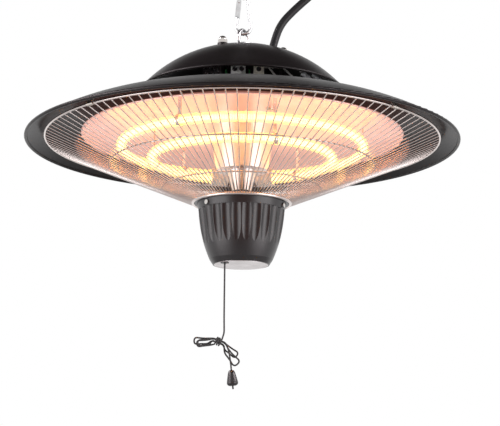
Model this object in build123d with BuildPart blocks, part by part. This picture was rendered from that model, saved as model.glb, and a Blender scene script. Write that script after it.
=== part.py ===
from build123d import *
from math import acos, asin, atan2, ceil, cos, degrees, hypot, pi, radians, sin, sqrt, tan
import os

# Hanging electric patio heater. The origin is at the ceiling, +Z is up, and all sizes are in millimetres.
# Heights of the heater's own pieces are measured from the plane of the hood's rim.

os.makedirs("parts", exist_ok=True)

# Fits shared by the pieces
seat_gap = 0.3
fit_gap = 0.05
running_gap = 0.05
slack_gap = 0.6
weld_depth = 0.35
cut_overrun = 2.0
midway_share = 0.5

# Ceiling plate and its eye
plate_radius = 32.0
plate_thickness = 3.0
plate_edge = 0.8
plate_screw_circle = 23.0
plate_screw_count = 3
plate_screw_hole = 2.3
ring_radius = 8.0
ring_wire = 2.2
ring_stem_radius = 3.6
ring_stem_length = 12.0

# Chain
link_wire = 1.6
link_half_width = 5.4
link_inner_length = 26.0
link_count = 6

# Snap hook, its gate and its pin
hook_wire = 1.8
hook_bow = 7.2
hook_top_bow = 4.2
hook_inner_length = 37.8
hook_nose_share = 0.3
hook_pivot_share = 0.86
gate_half_width = 2.4
gate_wall = 0.8
gate_end_gap = 0.5
gate_slot_gap = 0.9
gate_pin_radius = 0.9
gate_pin_head = 1.5
gate_pin_head_height = 0.6

# Hanging eye, centre rod and its nuts
eye_radius = 8.25
eye_wire = 1.75
eye_turn = 55.0
eye_collar_radius = 6.5
eye_collar_height = 4.6
eye_thread_depth = 4.2
eye_washer_radius = 9.0
washer_thickness = 1.0
rod_radius = 3.0
rod_nut_flats = 10.0
rod_nut_height = 5.0
rod_overhang = 2.5

# Top cap, a shallow dome on posts
cap_sphere = 133.4
cap_apex_height = 99.3
cap_radius = 103.0
cap_wall = 1.2
cap_bead = 1.3

# Posts, studs and cap nuts
post_circle = 40.0
post_count = 3
post_radius = 4.0
cap_seat_radius = 5.1
cap_seat_rise = 0.3
stud_radius = 2.5
stud_nut_flats = 8.0
stud_nut_height = 4.0
cap_nut_base = 3.6
cap_nut_dome = 3.9
cap_nut_round_share = 0.9

# Hood
hood_radius = 212.5
hood_flat_radius = 88.9
hood_arc = 233.0
hood_wall = 1.2
hood_bead = 1.6
hood_opening = 30.0

# Chassis plate on the hood, with the terminal bracket and blocks
chassis_radius = 74.0
chassis_thickness = 1.5
chassis_opening_x = 14.0
chassis_opening_y = 20.0
chassis_opening_length = 22.0
chassis_opening_width = 8.0
bracket_thickness = 1.2
bracket_left = -38.0
bracket_right = 22.0
bracket_front = -66.0
bracket_back = -43.0
bracket_tab_width = 16.0
bracket_tab_height = 31.0
mains_block_x = -4.5
mains_block_width = 14.0
element_block_x = 15.0
element_block_width = 10.0
block_y = -56.0
block_depth = 18.0
block_height = 27.0
block_edge = 1.0
terminal_screw_share = 0.72
terminal_screw_radius = 1.6
terminal_screw_length = 6.0
terminal_screw_head = 2.4
terminal_screw_head_height = 1.4
terminal_screw_spacing = 6.6
earth_screw_radius = 2.0
earth_screw_head = 3.3
earth_screw_head_height = 2.4

# Reflector with its spacers and screws
reflector_radius = 157.5
reflector_rim_height = 8.0
reflector_top_height = 26.0
reflector_flat_radius = 66.0
reflector_wall = 0.8
reflector_bead = 1.0
reflector_opening = 16.0
reflector_post_circle = 52.0
reflector_post_count = 3
reflector_post_turn = 60.0
reflector_post_radius = 4.5
reflector_screw_radius = 2.0
reflector_screw_head = 4.0
reflector_screw_head_height = 2.2
reflector_screw_overhang = 1.5

# Ring tubes with filament, end caps and clips
outer_ring_radius = 118.6
outer_ring_height = -3.0
inner_ring_radius = 88.4
inner_ring_height = -14.5
tube_radius = 5.0
tube_wall = 1.0
filament_radius = 1.6
end_cap_radius = 7.5
end_cap_length = 18.0
end_cap_socket = 11.0
tube_break = 44.0
tube_break_azimuth = 90.0
end_stem_radius = 4.0
end_stem_overhang = 1.0
clip_wall = 0.9
clip_mouth = 5.0
clip_top_gap = 0.08
clip_width = 3.5
clip_count = 3
outer_clip_turn = 1.0
inner_clip_turn = 50.0

# Hub cone and centre tube under the reflector
hub_top_radius = 34.5
hub_bottom_radius = 25.0
hub_bottom_height = -26.0
hub_wall = 1.0
hub_lead_hole = 1.3
centre_tube_top_radius = 14.0
centre_tube_bottom_radius = 9.0
centre_tube_bottom_height = -46.0
centre_tube_wall = 0.8

# Guard
guard_radius = 192.5
guard_height = 3.0
guard_ring_wire = 1.2
guard_bottom_radius = 47.3
guard_bottom_height = -58.0
guard_bottom_wire = 1.5
guard_wire = 0.6
guard_wire_count = 120
guard_middle_share = 0.43
guard_lower_share = 0.79
guard_middle_wire = 0.8
guard_clip_count = 4
guard_clip_turn = 45.0
guard_clip_width = 8.0
guard_clip_wall = 1.0

# Cup (switch housing) with its lid, screws and bottom disc
lid_height = -59.0
lid_thickness = 2.0
lid_skirt_depth = 10.0
lid_skirt_wall = 2.0
cup_top_radius = 43.5
cup_band_radius = 41.9
cup_band_height = -65.0
cup_middle_radius = 38.5
cup_middle_height = -89.5
cup_shoulder_radius = 30.4
cup_shoulder_height = -113.7
cup_bottom_radius = 27.2
cup_bottom_height = -118.6
cup_wall = 2.8
cup_floor = 2.4
flute_count = 26
flute_cutter_radius = 7.0
flute_top_depth = 1.3
flute_top_height = -65.5
flute_turn = -6.9
front_azimuth = 270.0
flute_tip_height = -100.0
flute_tip_in_share = 0.86
cup_screw_count = 3
cup_screw_turn = -50.8
cup_screw_height = -62.5
cup_screw_radius = 1.5
cup_screw_head = 2.4
cup_screw_head_height = 1.3
cup_screw_length = 7.0
disc_radius = 26.2
disc_thickness = 1.0
disc_recess = 0.8
switch_lead_circle = 6.9
switch_lead_turn = 30.0
switch_lead_count = 3
lead_radius = 0.9
lead_bend = 2.0

# Pull switch inside the cup
pull_x = -15.5
pull_y = -15.0
drum_radius = 8.0
drum_height = -95.0
drum_thickness = 4.0
axle_radius = 2.0
axle_front_overhang = 1.6
axle_depth = 8.0
pulley_groove_radius = 7.1
pulley_groove_width = 2.0
pulley_rim_radius = 8.5
pulley_hole_count = 4
pulley_hole_radius = 1.4
switch_front = -10.4
switch_back = 9.6
switch_half_width = 15.0
switch_below = 10.0
switch_above = 12.0
switch_edge = 1.5
switch_foot_x = -7.5
switch_foot_half_width = 5.0
switch_foot_front = -6.0
switch_foot_back = 6.0
bush_radius = 3.0
bush_flange_radius = 4.0
bush_flange_height = 0.8
bush_bore = 1.5

# Pull cord, hank and toggle. The cord's route is a hand-made list of (x, y, height).
pull_cord_radius = 0.8
pull_route = [
    (-15.5, -15.0, -95.0),
    (-15.5, -15.0, -172.0),
    (-15.3, -16.6, -180.0),
    (-15.2, -19.2, -186.4),
    (-16.6, -20.2, -190.9),
]
tail_route = [
    (-9.4, -17.1, -210.5),
    (-8.6, -17.1, -215.5),
    (-8.1, -17.1, -221.0),
]
knot_x = -20.9
knot_y = -15.0
knot_height = -194.0
bundle_angle = -20.0
lane_pitch = 2.1
waist_half_gap = 1.1
wrap_turns = 2.33
waist_half_length = 3.3
wrap_pitch = 2.05
wrap_clearance = 0.45
loop_half_width = 2.6
belly_share = 0.55
right_loops = [(22.0, -36.0), (28.0, -49.0)]
left_loops = [(20.0, 186.0), (22.5, 179.0), (19.0, 186.0)]
cord_samples = 420
toggle_length = 14.6
toggle_top_radius = 2.4
toggle_shoulder_radius = 3.4
toggle_shoulder_share = 0.14
toggle_belly_radius = 5.35
toggle_belly_share = 0.8
toggle_lip_radius = 4.4
toggle_lip_share = 0.95
toggle_bottom_radius = 2.6
toggle_tilt = 6.0
stub_length = 3.0

# Mains cord, gland, coil, tie and plug. The cord's route is a hand-made list of (x, y, height).
cord_radius = 4.0
gland_x = 27.0
gland_y = 22.0
gland_flange_radius = 9.0
gland_flange_height = 2.4
gland_dome_radius = 6.8
gland_dome_height = 4.6
gland_dome_edge = 1.2
gland_thread_radius = 5.8
gland_thread_length = 8.0
gland_nut_flats = 16.0
gland_nut_height = 3.5
cord_tail_length = 30.0
lead_up_length = 14.0
cord_bends = [
    (37.9, 26.4, 134.6),
    (53.0, 25.6, 151.0),
    (74.3, 24.6, 170.2),
    (91.0, 23.9, 199.5),
    (99.6, 23.5, 229.0),
]
coil_centre_x = 43.0
coil_centre_height = 265.0
coil_back_y = 23.5
coil_front_y = 14.8
coil_outer_radius = 52.4
coil_pitch = 8.7
coil_start_angle = 18.7
coil_layer_turns = 2.363
coil_steps_per_layer = 10
coil_climb_share = 1.4
lead_in_length = 21.0
lead_out_length = 18.0
lead_out_headings = [210.0, 230.0, 250.0, 270.0]
lead_out_runs = [20.7, 20.7, 20.7, 18.4]
corner_share = 0.45
straight_angle = 0.01
gap_skip_diameters = 2.5
tie_wall = 1.2
tie_width = 4.8
tie_height = 266.0
tie_head_width = 6.0
tie_head_depth = 4.0
relief_length = 26.0
relief_start_radius = 5.0
relief_end_radius = 7.0
plug_rear_radius = 10.0
plug_shoulder_radius = 16.5
plug_shoulder_share = 0.45
plug_face_radius = 18.5
plug_rim_share = 0.62
plug_length = 36.0
plug_edge = 2.0
pin_radius = 2.4
pin_spacing = 19.0
pin_length = 19.0
pin_root = 10.0

# Leads inside the cap. Each element lead slants down beside the blocks, then goes back and out to a tube's end.
element_lead_top_height = 64.5
element_lead_low_height = 44.0
element_lead_under_height = 30.5
element_lead_slants = [
    (-62.0, 21.5, 38.6),
    (-58.5, 36.0, 56.2),
    (-55.0, 50.0, 71.5),
    (-51.5, 61.0, 80.5),
]
element_lead_turns = [(20.0, -14.0), (24.0, -14.0), (28.0, -14.0), (32.0, -14.0)]
element_lead_holes_x = [9.0, 12.4, 15.8, 19.2]
element_lead_holes_y = 20.0
element_lead_passing = (8.0, 80.0)
lead_small_bend = 1.6
cut_angle = 0.2
switch_lead_height = 50.0
switch_lead_targets = [13.0, -8.0, -1.5]
earth_lead_height = 61.0
earth_screw_front_y = -55.0
earth_screw_left_x = -16.0
earth_screw_right_x = 6.25
core_routes = [(120.0, 4.5, 61.0, -2.0), (240.0, 8.5, 57.0, -8.0)]
lead_core_circle = 1.9
lead_straight = 4.5
earth_lead_back_y = -46.5
sleeve_radius = 2.6
sleeve_bore = 1.2
sleeve_start_share = 0.32
sleeve_end_share = 0.86

# Hanging heights, from the ceiling down
ceiling_ring_z = -(plate_thickness + ring_stem_length + ring_radius)
ring_seat_z = ceiling_ring_z - ring_radius + ring_wire
link_top_z = ring_seat_z + seat_gap
link_step = link_inner_length - seat_gap
hook_top_z = link_top_z - link_count * link_step
hook_seat_z = hook_top_z - hook_inner_length
eye_top_z = hook_seat_z + seat_gap
eye_z = eye_top_z - eye_radius + eye_wire
eye_base_z = eye_z - eye_radius - eye_wire
rim_z = eye_base_z - washer_thickness - cap_apex_height


def level(height):
    """A horizontal plane at a height over the hood's rim."""
    return Plane.XY.offset(rim_z + height)


def place(point):
    """A point given as x, y and height over the hood's rim."""
    x, y, height = point
    return Vector(x, y, rim_z + height)


def upright(azimuth):
    """The upright plane through the heater's axis: its x is the radius, its y the height over the rim."""
    out = (cos(radians(azimuth)), sin(radians(azimuth)), 0)
    side = (sin(radians(azimuth)), -cos(radians(azimuth)), 0)
    return Plane(origin=(0, 0, rim_z), x_dir=out, z_dir=side)


def arc_height(radius, arc_radius, arc_centre_radius, arc_centre_height):
    """Height of the upper side of an arc at a distance from the axis."""
    return arc_centre_height + sqrt(arc_radius**2 - (radius - arc_centre_radius) ** 2)


def add_shell(flat_start, flat_end, top, arc_radius, sweep_angle, wall):
    """A pressed sheet's section, flat and then an arc, added to the open sketch. It returns the edge's middle."""
    with BuildLine() as outline:
        outer = CenterArc((flat_end, top - arc_radius), arc_radius, 90, -sweep_angle)
        inner = CenterArc((flat_end, top - arc_radius), arc_radius - wall, 90, -sweep_angle)
        Line(outer @ 1, inner @ 1)
        Polyline(outer @ 0, (flat_start, top), (flat_start, top - wall), inner @ 0)
    make_face(outline.edges())
    return (outer @ 1 + inner @ 1) / 2


def corner_radii(points):
    """The bend radius at each corner of a cord: as large as its two runs allow."""
    radii = []
    for before, corner, after in zip(points, points[1:], points[2:]):
        first = corner - before
        second = after - corner
        turn = radians(first.get_angle(second))
        radii.append(corner_share * min(first.length, second.length) / tan(turn / 2))
    return radii


def sweep_lead(points, bend):
    """A thin lead along straight runs with one bend radius, added to the open part."""
    with BuildLine() as route:
        FilletPolyline(*points, radius=bend)
    with BuildSketch(Plane(origin=route.line @ 0, z_dir=route.line % 0)) as section:
        Circle(lead_radius)
    sweep(sections=section.sketch, path=route.line)


def add_biarc(start, start_heading, end, end_heading):
    """Two tangent arcs between two points with given headings, added to the open line. It returns their length."""
    chord = end - start
    total = start_heading + end_heading
    spread = 1 - start_heading.dot(end_heading)
    along = chord.dot(total)
    reach = chord.dot(chord) / (along + sqrt(along**2 + 2 * spread * chord.dot(chord)))
    joint = (start + end + (start_heading - end_heading) * reach) / 2
    middle = (joint - start - start_heading * reach).normalized()
    TangentArc(start, joint, tangent=start_heading)
    TangentArc(joint, end, tangent=middle)


def add_route(stations):
    """Runs through stations, each a point and a heading, added to the open line."""
    for (start, start_heading), (end, end_heading) in zip(stations, stations[1:]):
        if abs(start_heading.get_angle(end - start)) < straight_angle:
            Line(start, end)
        else:
            add_biarc(start, start_heading, end, end_heading)


def report_tube(name, line, solid, radius):
    """Print a tube's length, its volume over section times length, and the least gap between its turns."""
    length = sum(edge.length for edge in line.edges())
    wire = line.wires()[0]
    points = [wire @ (number / cord_samples) for number in range(cord_samples + 1)]
    near = ceil(gap_skip_diameters * 2 * radius * cord_samples / length)
    least = min(
        ((other - point).length for first, point in enumerate(points) for other in points[first + near :]),
        default=length,
    )
    share = solid.volume / (pi * radius**2 * length)
    print(f"{name}: length {length:.1f}, volume share {share:.4f}, gap {least - 2 * radius:.2f}")


# Ceiling plate: a round plate with three countersunk screw holes and a hole for the eye's stem
with BuildPart() as ceiling_plate:
    with BuildSketch(Plane.XY.offset(-plate_thickness)):
        Circle(plate_radius)
        Circle(ring_stem_radius + fit_gap, mode=Mode.SUBTRACT)
        with PolarLocations(plate_screw_circle, plate_screw_count):
            Circle(plate_screw_hole, mode=Mode.SUBTRACT)
    extrude(amount=plate_thickness)
    chamfer(ceiling_plate.edges().filter_by(GeomType.CIRCLE).group_by(Axis.Z)[0].sort_by(SortBy.LENGTH)[-1], plate_edge)
ceiling_plate.part.label = "ceiling_plate"
export_step(ceiling_plate.part, "parts/ceiling_plate.step")

# Ceiling eye: a ring on a stem that passes through the plate
with BuildPart() as ceiling_eye:
    with BuildSketch(Plane(origin=(0, 0, ceiling_ring_z), x_dir=(0, 0, 1), z_dir=(0, 1, 0))):
        with Locations((ring_radius, 0)):
            Circle(ring_wire)
    revolve(axis=Axis((0, 0, ceiling_ring_z), (1, 0, 0)))
    with BuildSketch(Plane.XY.offset(ceiling_ring_z + ring_radius)):
        Circle(ring_stem_radius)
    extrude(amount=ring_stem_length + plate_thickness)
ceiling_eye.part.label = "ceiling_eye"
export_step(ceiling_eye.part, "parts/ceiling_eye.step")

# Chain links, each turned a quarter from the last
link_straight = link_inner_length / 2 + link_wire - link_half_width
with BuildPart() as chain_links:
    for number in range(link_count):
        link_z = link_top_z - number * link_step - link_inner_length / 2
        if number % 2:
            link_plane = Plane(origin=(0, 0, link_z), x_dir=(0, 1, 0), z_dir=(1, 0, 0))
        else:
            link_plane = Plane(origin=(0, 0, link_z), x_dir=(1, 0, 0), z_dir=(0, -1, 0))
        with BuildLine(link_plane) as loop:
            Line((link_half_width, -link_straight), (link_half_width, link_straight))
            CenterArc((0, link_straight), link_half_width, 0, 180)
            Line((-link_half_width, link_straight), (-link_half_width, -link_straight))
            CenterArc((0, -link_straight), link_half_width, 180, 180)
        with BuildSketch(Plane(origin=loop.line @ 0, z_dir=loop.line % 0)) as section:
            Circle(link_wire)
        sweep(sections=section.sketch, path=loop.line)
chain_links.part.label = "chain_links"
export_step(chain_links.part, "parts/chain_links.step")

# Snap hook: a pear-shaped wire loop, open on its left side between the nose and the gate's pivot
hook_bow_z = hook_seat_z + hook_bow - hook_wire
hook_spacing = hook_inner_length - (hook_bow - hook_wire) - (hook_top_bow - hook_wire)
hook_taper = asin((hook_bow - hook_top_bow) / hook_spacing)
hook_plane = Plane(origin=(0, 0, hook_bow_z), x_dir=(1, 0, 0), z_dir=(0, -1, 0))
right_bow = Vector(hook_bow * cos(hook_taper), hook_bow * sin(hook_taper))
right_top = Vector(hook_top_bow * cos(hook_taper), hook_spacing + hook_top_bow * sin(hook_taper))
left_bow = Vector(-right_bow.X, right_bow.Y)
left_top = Vector(-right_top.X, right_top.Y)
nose = left_bow + (left_top - left_bow) * hook_nose_share
pivot = left_bow + (left_top - left_bow) * hook_pivot_share
hook_end = pivot - (left_top - left_bow).normalized() * (gate_pin_radius + gate_wall)
with BuildPart() as snap_hook:
    with BuildLine(hook_plane) as hook_line:
        Line((nose.X, nose.Y), (left_bow.X, left_bow.Y))
        CenterArc((0, 0), hook_bow, 180 - degrees(hook_taper), 180 + 2 * degrees(hook_taper))
        Line((right_bow.X, right_bow.Y), (right_top.X, right_top.Y))
        CenterArc((0, hook_spacing), hook_top_bow, degrees(hook_taper), 180 - 2 * degrees(hook_taper))
        Line((left_top.X, left_top.Y), (hook_end.X, hook_end.Y))
    with BuildSketch(Plane(origin=hook_line.line @ 0, z_dir=hook_line.line % 0)):
        Circle(hook_wire)
    sweep(path=hook_line.line)
    with BuildSketch(hook_plane):
        with Locations(pivot):
            Circle(gate_pin_radius + fit_gap)
    extrude(amount=hook_wire + cut_overrun, both=True, mode=Mode.SUBTRACT)
snap_hook.part.label = "snap_hook"
export_step(snap_hook.part, "parts/snap_hook.step")

# Gate of the snap hook: a bar with two ears round the hook's end, closing on the nose
gate_length = (nose - pivot).length - gate_end_gap
gate_slot = (hook_end - pivot).length + gate_slot_gap
gate_ear_inside = hook_wire + slack_gap / 2
gate_slot_start = gate_half_width + cut_overrun
pivot_point = hook_plane.from_local_coords(pivot)
nose_point = hook_plane.from_local_coords(nose)
gate_plane = Plane(origin=pivot_point, x_dir=nose_point - pivot_point, z_dir=(0, -1, 0))
with BuildPart() as snap_hook_gate:
    with BuildSketch(gate_plane):
        with Locations((gate_length / 2, 0)):
            Rectangle(gate_length, 2 * gate_half_width)
        Circle(gate_half_width)
    extrude(amount=gate_ear_inside + gate_wall, both=True)
    with BuildSketch(gate_plane):
        with Locations(((gate_slot - gate_slot_start) / 2, 0)):
            Rectangle(gate_slot + gate_slot_start, 2 * gate_slot_start)
    extrude(amount=gate_ear_inside, both=True, mode=Mode.SUBTRACT)
    with BuildSketch(gate_plane):
        Circle(gate_pin_radius + running_gap)
    extrude(amount=gate_ear_inside + gate_wall + cut_overrun, both=True, mode=Mode.SUBTRACT)
snap_hook_gate.part.label = "snap_hook_gate"
export_step(snap_hook_gate.part, "parts/snap_hook_gate.step")

# Gate pin, with a head on each side
gate_pin_half = gate_ear_inside + gate_wall + slack_gap / 2
with BuildPart() as gate_pin:
    with BuildSketch(gate_plane):
        Circle(gate_pin_radius)
    extrude(amount=gate_pin_half, both=True)
    with BuildSketch(gate_plane.offset(gate_pin_half)):
        Circle(gate_pin_head)
    extrude(amount=gate_pin_head_height)
    with BuildSketch(gate_plane.offset(-gate_pin_half)):
        Circle(gate_pin_head)
    extrude(amount=-gate_pin_head_height)
gate_pin.part.label = "gate_pin"
export_step(gate_pin.part, "parts/gate_pin.step")

# Hanging eye: a ring on a threaded collar, turned away from the hook's plane
eye_out = (cos(radians(eye_turn)), sin(radians(eye_turn)), 0)
eye_axis = (-sin(radians(eye_turn)), cos(radians(eye_turn)), 0)
rod_top_z = eye_base_z + eye_thread_depth
with BuildPart() as hanging_eye:
    with BuildSketch(Plane(origin=(0, 0, eye_z), x_dir=eye_out, z_dir=(0, 0, 1))):
        with Locations((eye_radius, 0)):
            Circle(eye_wire)
    revolve(axis=Axis((0, 0, eye_z), eye_axis))
    with BuildSketch(Plane.XY.offset(eye_base_z)):
        Circle(eye_collar_radius)
    extrude(amount=eye_collar_height)
    with BuildSketch(Plane.XY.offset(eye_base_z)):
        Circle(rod_radius + fit_gap)
    extrude(amount=eye_thread_depth, mode=Mode.SUBTRACT)
hanging_eye.part.label = "hanging_eye"
export_step(hanging_eye.part, "parts/hanging_eye.step")

# Heights and sections that the pressed sheets share with the pieces on them
side = Plane(origin=(0, 0, rim_z), x_dir=(1, 0, 0), z_dir=(0, -1, 0))
hood_reach = hood_radius - hood_bead - hood_flat_radius
hood_top = hood_bead + hood_arc - sqrt(hood_arc**2 - hood_reach**2)
hood_sweep = degrees(asin(hood_reach / hood_arc))
hood_underside = hood_top - hood_wall
chassis_top = hood_top + chassis_thickness
cap_sweep = degrees(asin((cap_radius - cap_bead) / cap_sphere))
cap_inner = cap_sphere - cap_wall
cap_hole = degrees(asin((rod_radius + fit_gap) / cap_inner))
cap_centre_height = cap_apex_height - cap_sphere
cap_seat_top = arc_height(post_circle - cap_seat_radius, cap_inner, 0, cap_centre_height) + cap_seat_rise
cap_seat_bottom = arc_height(post_circle + cap_seat_radius, cap_inner, 0, cap_centre_height) - cap_seat_rise
reflector_reach = reflector_radius - reflector_bead - reflector_flat_radius
reflector_drop = reflector_top_height - reflector_rim_height
reflector_arc = (reflector_reach**2 + reflector_drop**2) / (2 * reflector_drop)
reflector_sweep = degrees(asin(reflector_reach / reflector_arc))
reflector_upper_height = reflector_top_height + reflector_wall


def reflector_underside(radius):
    """Height of the reflector's underside at a distance from the axis."""
    return arc_height(radius, reflector_arc, reflector_flat_radius, reflector_top_height - reflector_arc)


def hood_inside(radius):
    """Height of the hood's inner side at a distance from the axis."""
    return arc_height(radius, hood_arc - hood_wall, hood_flat_radius, hood_top - hood_arc)


# Gland's direction: square to the cap where it stands
gland_distance = hypot(gland_x, gland_y)
gland_height = arc_height(gland_distance, cap_sphere, 0, cap_centre_height)
gland_normal = Vector(gland_x, gland_y, gland_height - cap_centre_height).normalized()
gland_plane = Plane(origin=place((gland_x, gland_y, gland_height)), z_dir=gland_normal)

# Top cap: a shallow dome with a rolled lip, flat seats for the posts, and holes for the rod, studs and gland
with BuildPart() as top_cap:
    with BuildSketch(side):
        with BuildLine():
            outer = CenterArc((0, cap_centre_height), cap_sphere, 90 - cap_hole, cap_hole - cap_sweep)
            inner = CenterArc((0, cap_centre_height), cap_inner, 90 - cap_hole, cap_hole - cap_sweep)
            Line(outer @ 0, inner @ 0)
            Line(outer @ 1, inner @ 1)
        make_face()
        with Locations((outer @ 1 + inner @ 1) / 2):
            Circle(cap_bead)
    revolve(axis=Axis((0, 0, rim_z), (0, 0, 1)))
    with BuildSketch(level(cap_seat_bottom)):
        with PolarLocations(post_circle, post_count):
            Circle(cap_seat_radius)
    extrude(amount=cap_seat_top - cap_seat_bottom)
    with BuildSketch(level(cap_seat_top)):
        with PolarLocations(post_circle, post_count):
            Circle(cap_seat_radius)
    extrude(amount=cut_overrun, mode=Mode.SUBTRACT)
    with BuildSketch(level(cap_seat_bottom - cut_overrun)):
        with PolarLocations(post_circle, post_count):
            Circle(stud_radius + fit_gap)
    extrude(amount=cap_seat_top - cap_seat_bottom + 2 * cut_overrun, mode=Mode.SUBTRACT)
    with BuildSketch(gland_plane):
        Circle(gland_thread_radius + fit_gap)
    extrude(amount=cap_wall + cut_overrun, both=True, mode=Mode.SUBTRACT)
top_cap.part.label = "top_cap"
export_step(top_cap.part, "parts/top_cap.step")

# Washer on the cap, under the eye
with BuildPart() as eye_washer:
    with BuildSketch(level(cap_apex_height)):
        Circle(eye_washer_radius)
        Circle(rod_radius + fit_gap, mode=Mode.SUBTRACT)
    extrude(amount=washer_thickness)
eye_washer.part.label = "eye_washer"
export_step(eye_washer.part, "parts/eye_washer.step")

# Domed nuts on the studs
stud_top = cap_seat_top + cap_nut_base
with BuildPart() as cap_nuts:
    with BuildSketch(level(cap_seat_top)):
        with PolarLocations(post_circle, post_count):
            RegularPolygon(stud_nut_flats / 2, 6, major_radius=False)
    extrude(amount=cap_nut_base)
    with BuildSketch(level(stud_top)):
        with PolarLocations(post_circle, post_count):
            Circle(cap_nut_dome)
    extrude(amount=cap_nut_dome)
    fillet(cap_nuts.edges().group_by(Axis.Z)[-1], cap_nut_dome * cap_nut_round_share)
    with BuildSketch(level(cap_seat_top)):
        with PolarLocations(post_circle, post_count):
            Circle(stud_radius + fit_gap)
    extrude(amount=cap_nut_base + seat_gap, mode=Mode.SUBTRACT)
cap_nuts.part.label = "cap_nuts"
export_step(cap_nuts.part, "parts/cap_nuts.step")

# Studs, from the nuts under the hood to the cap nuts
stud_bottom = hood_underside - stud_nut_height - rod_overhang
with BuildPart() as studs:
    with BuildSketch(level(stud_bottom)):
        with PolarLocations(post_circle, post_count):
            Circle(stud_radius)
    extrude(amount=stud_top - stud_bottom)
studs.part.label = "studs"
export_step(studs.part, "parts/studs.step")

# Nuts of the studs, under the hood
with BuildPart() as stud_nuts:
    with BuildSketch(level(hood_underside - stud_nut_height)):
        with PolarLocations(post_circle, post_count):
            RegularPolygon(stud_nut_flats / 2, 6, major_radius=False)
            Circle(stud_radius + fit_gap, mode=Mode.SUBTRACT)
    extrude(amount=stud_nut_height)
stud_nuts.part.label = "stud_nuts"
export_step(stud_nuts.part, "parts/stud_nuts.step")

# Spacer posts between the chassis and the cap
with BuildPart() as cap_posts:
    with BuildSketch(level(chassis_top)):
        with PolarLocations(post_circle, post_count):
            Circle(post_radius)
            Circle(stud_radius + fit_gap, mode=Mode.SUBTRACT)
    extrude(amount=cap_seat_bottom - chassis_top)
cap_posts.part.label = "cap_posts"
export_step(cap_posts.part, "parts/cap_posts.step")

# Hood: a wide pressed dome with a flat top, a rolled rim and an opening in the middle
with BuildPart() as hood:
    with BuildSketch(side):
        hood_edge = add_shell(hood_opening, hood_flat_radius, hood_top, hood_arc, hood_sweep, hood_wall)
        with Locations(hood_edge):
            Circle(hood_bead)
    revolve(axis=Axis((0, 0, rim_z), (0, 0, 1)))
    with BuildSketch(level(hood_underside - cut_overrun)):
        with PolarLocations(post_circle, post_count):
            Circle(stud_radius + fit_gap)
        with PolarLocations(reflector_post_circle, reflector_post_count, start_angle=reflector_post_turn):
            Circle(reflector_screw_radius + fit_gap)
    extrude(amount=hood_wall + 2 * cut_overrun, mode=Mode.SUBTRACT)
hood.part.label = "hood"
export_step(hood.part, "parts/hood.step")

# Chassis plate on the hood, with holes for the rod, studs, screws and leads
with BuildPart() as chassis_plate:
    with BuildSketch(level(hood_top)):
        Circle(chassis_radius)
        Circle(rod_radius + fit_gap, mode=Mode.SUBTRACT)
        with PolarLocations(post_circle, post_count):
            Circle(stud_radius + fit_gap, mode=Mode.SUBTRACT)
        with PolarLocations(reflector_post_circle, reflector_post_count, start_angle=reflector_post_turn):
            Circle(reflector_screw_radius + fit_gap, mode=Mode.SUBTRACT)
        with PolarLocations(switch_lead_circle, switch_lead_count, start_angle=switch_lead_turn):
            Circle(hub_lead_hole, mode=Mode.SUBTRACT)
        with Locations((chassis_opening_x, chassis_opening_y)):
            SlotOverall(chassis_opening_length, chassis_opening_width, mode=Mode.SUBTRACT)
        with Locations((earth_screw_left_x, earth_screw_front_y), (earth_screw_right_x, earth_screw_front_y)):
            Circle(earth_screw_radius + fit_gap, mode=Mode.SUBTRACT)
    extrude(amount=chassis_thickness)
chassis_plate.part.label = "chassis_plate"
export_step(chassis_plate.part, "parts/chassis_plate.step")

# Terminal bracket: a foot on the chassis with a tab turned up at its front left
bracket_width = bracket_right - bracket_left
bracket_depth = bracket_back - bracket_front
with BuildPart() as terminal_bracket:
    with BuildSketch(level(chassis_top)):
        with Locations(((bracket_left + bracket_right) / 2, (bracket_front + bracket_back) / 2)):
            Rectangle(bracket_width, bracket_depth)
        with Locations((earth_screw_left_x, earth_screw_front_y), (earth_screw_right_x, earth_screw_front_y)):
            Circle(earth_screw_radius + fit_gap, mode=Mode.SUBTRACT)
    extrude(amount=bracket_thickness)
    with BuildSketch(level(chassis_top)):
        with Locations((bracket_left + bracket_tab_width / 2, bracket_front + bracket_thickness / 2)):
            Rectangle(bracket_tab_width, bracket_thickness)
    extrude(amount=bracket_tab_height)
terminal_bracket.part.label = "terminal_bracket"
export_step(terminal_bracket.part, "parts/terminal_bracket.step")

# Mains terminal block
block_base = chassis_top + bracket_thickness
block_front = block_y - block_depth / 2
block_back = block_y + block_depth / 2
screw_height = block_base + block_height * terminal_screw_share
block_front_plane = Plane(origin=(0, block_front, rim_z + screw_height), x_dir=(1, 0, 0), z_dir=(0, -1, 0))
terminal_screw_x = [
    mains_block_x - terminal_screw_spacing / 2,
    mains_block_x + terminal_screw_spacing / 2,
    element_block_x,
]
with BuildPart() as mains_block:
    with BuildSketch(level(block_base)):
        with Locations((mains_block_x, block_y)):
            Rectangle(mains_block_width, block_depth)
    extrude(amount=block_height)
    fillet(mains_block.edges().filter_by(Axis.Z), block_edge)
    with BuildSketch(block_front_plane):
        with Locations(*[(x, 0) for x in terminal_screw_x[:2]]):
            Circle(terminal_screw_radius + fit_gap)
    extrude(amount=-terminal_screw_length, mode=Mode.SUBTRACT)
mains_block.part.label = "mains_block"
export_step(mains_block.part, "parts/mains_block.step")

# Element terminal block
with BuildPart() as element_block:
    with BuildSketch(level(block_base)):
        with Locations((element_block_x, block_y)):
            Rectangle(element_block_width, block_depth)
    extrude(amount=block_height)
    fillet(element_block.edges().filter_by(Axis.Z), block_edge)
    with BuildSketch(block_front_plane):
        with Locations((element_block_x, 0)):
            Circle(terminal_screw_radius + fit_gap)
    extrude(amount=-terminal_screw_length, mode=Mode.SUBTRACT)
element_block.part.label = "element_block"
export_step(element_block.part, "parts/element_block.step")

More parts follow.
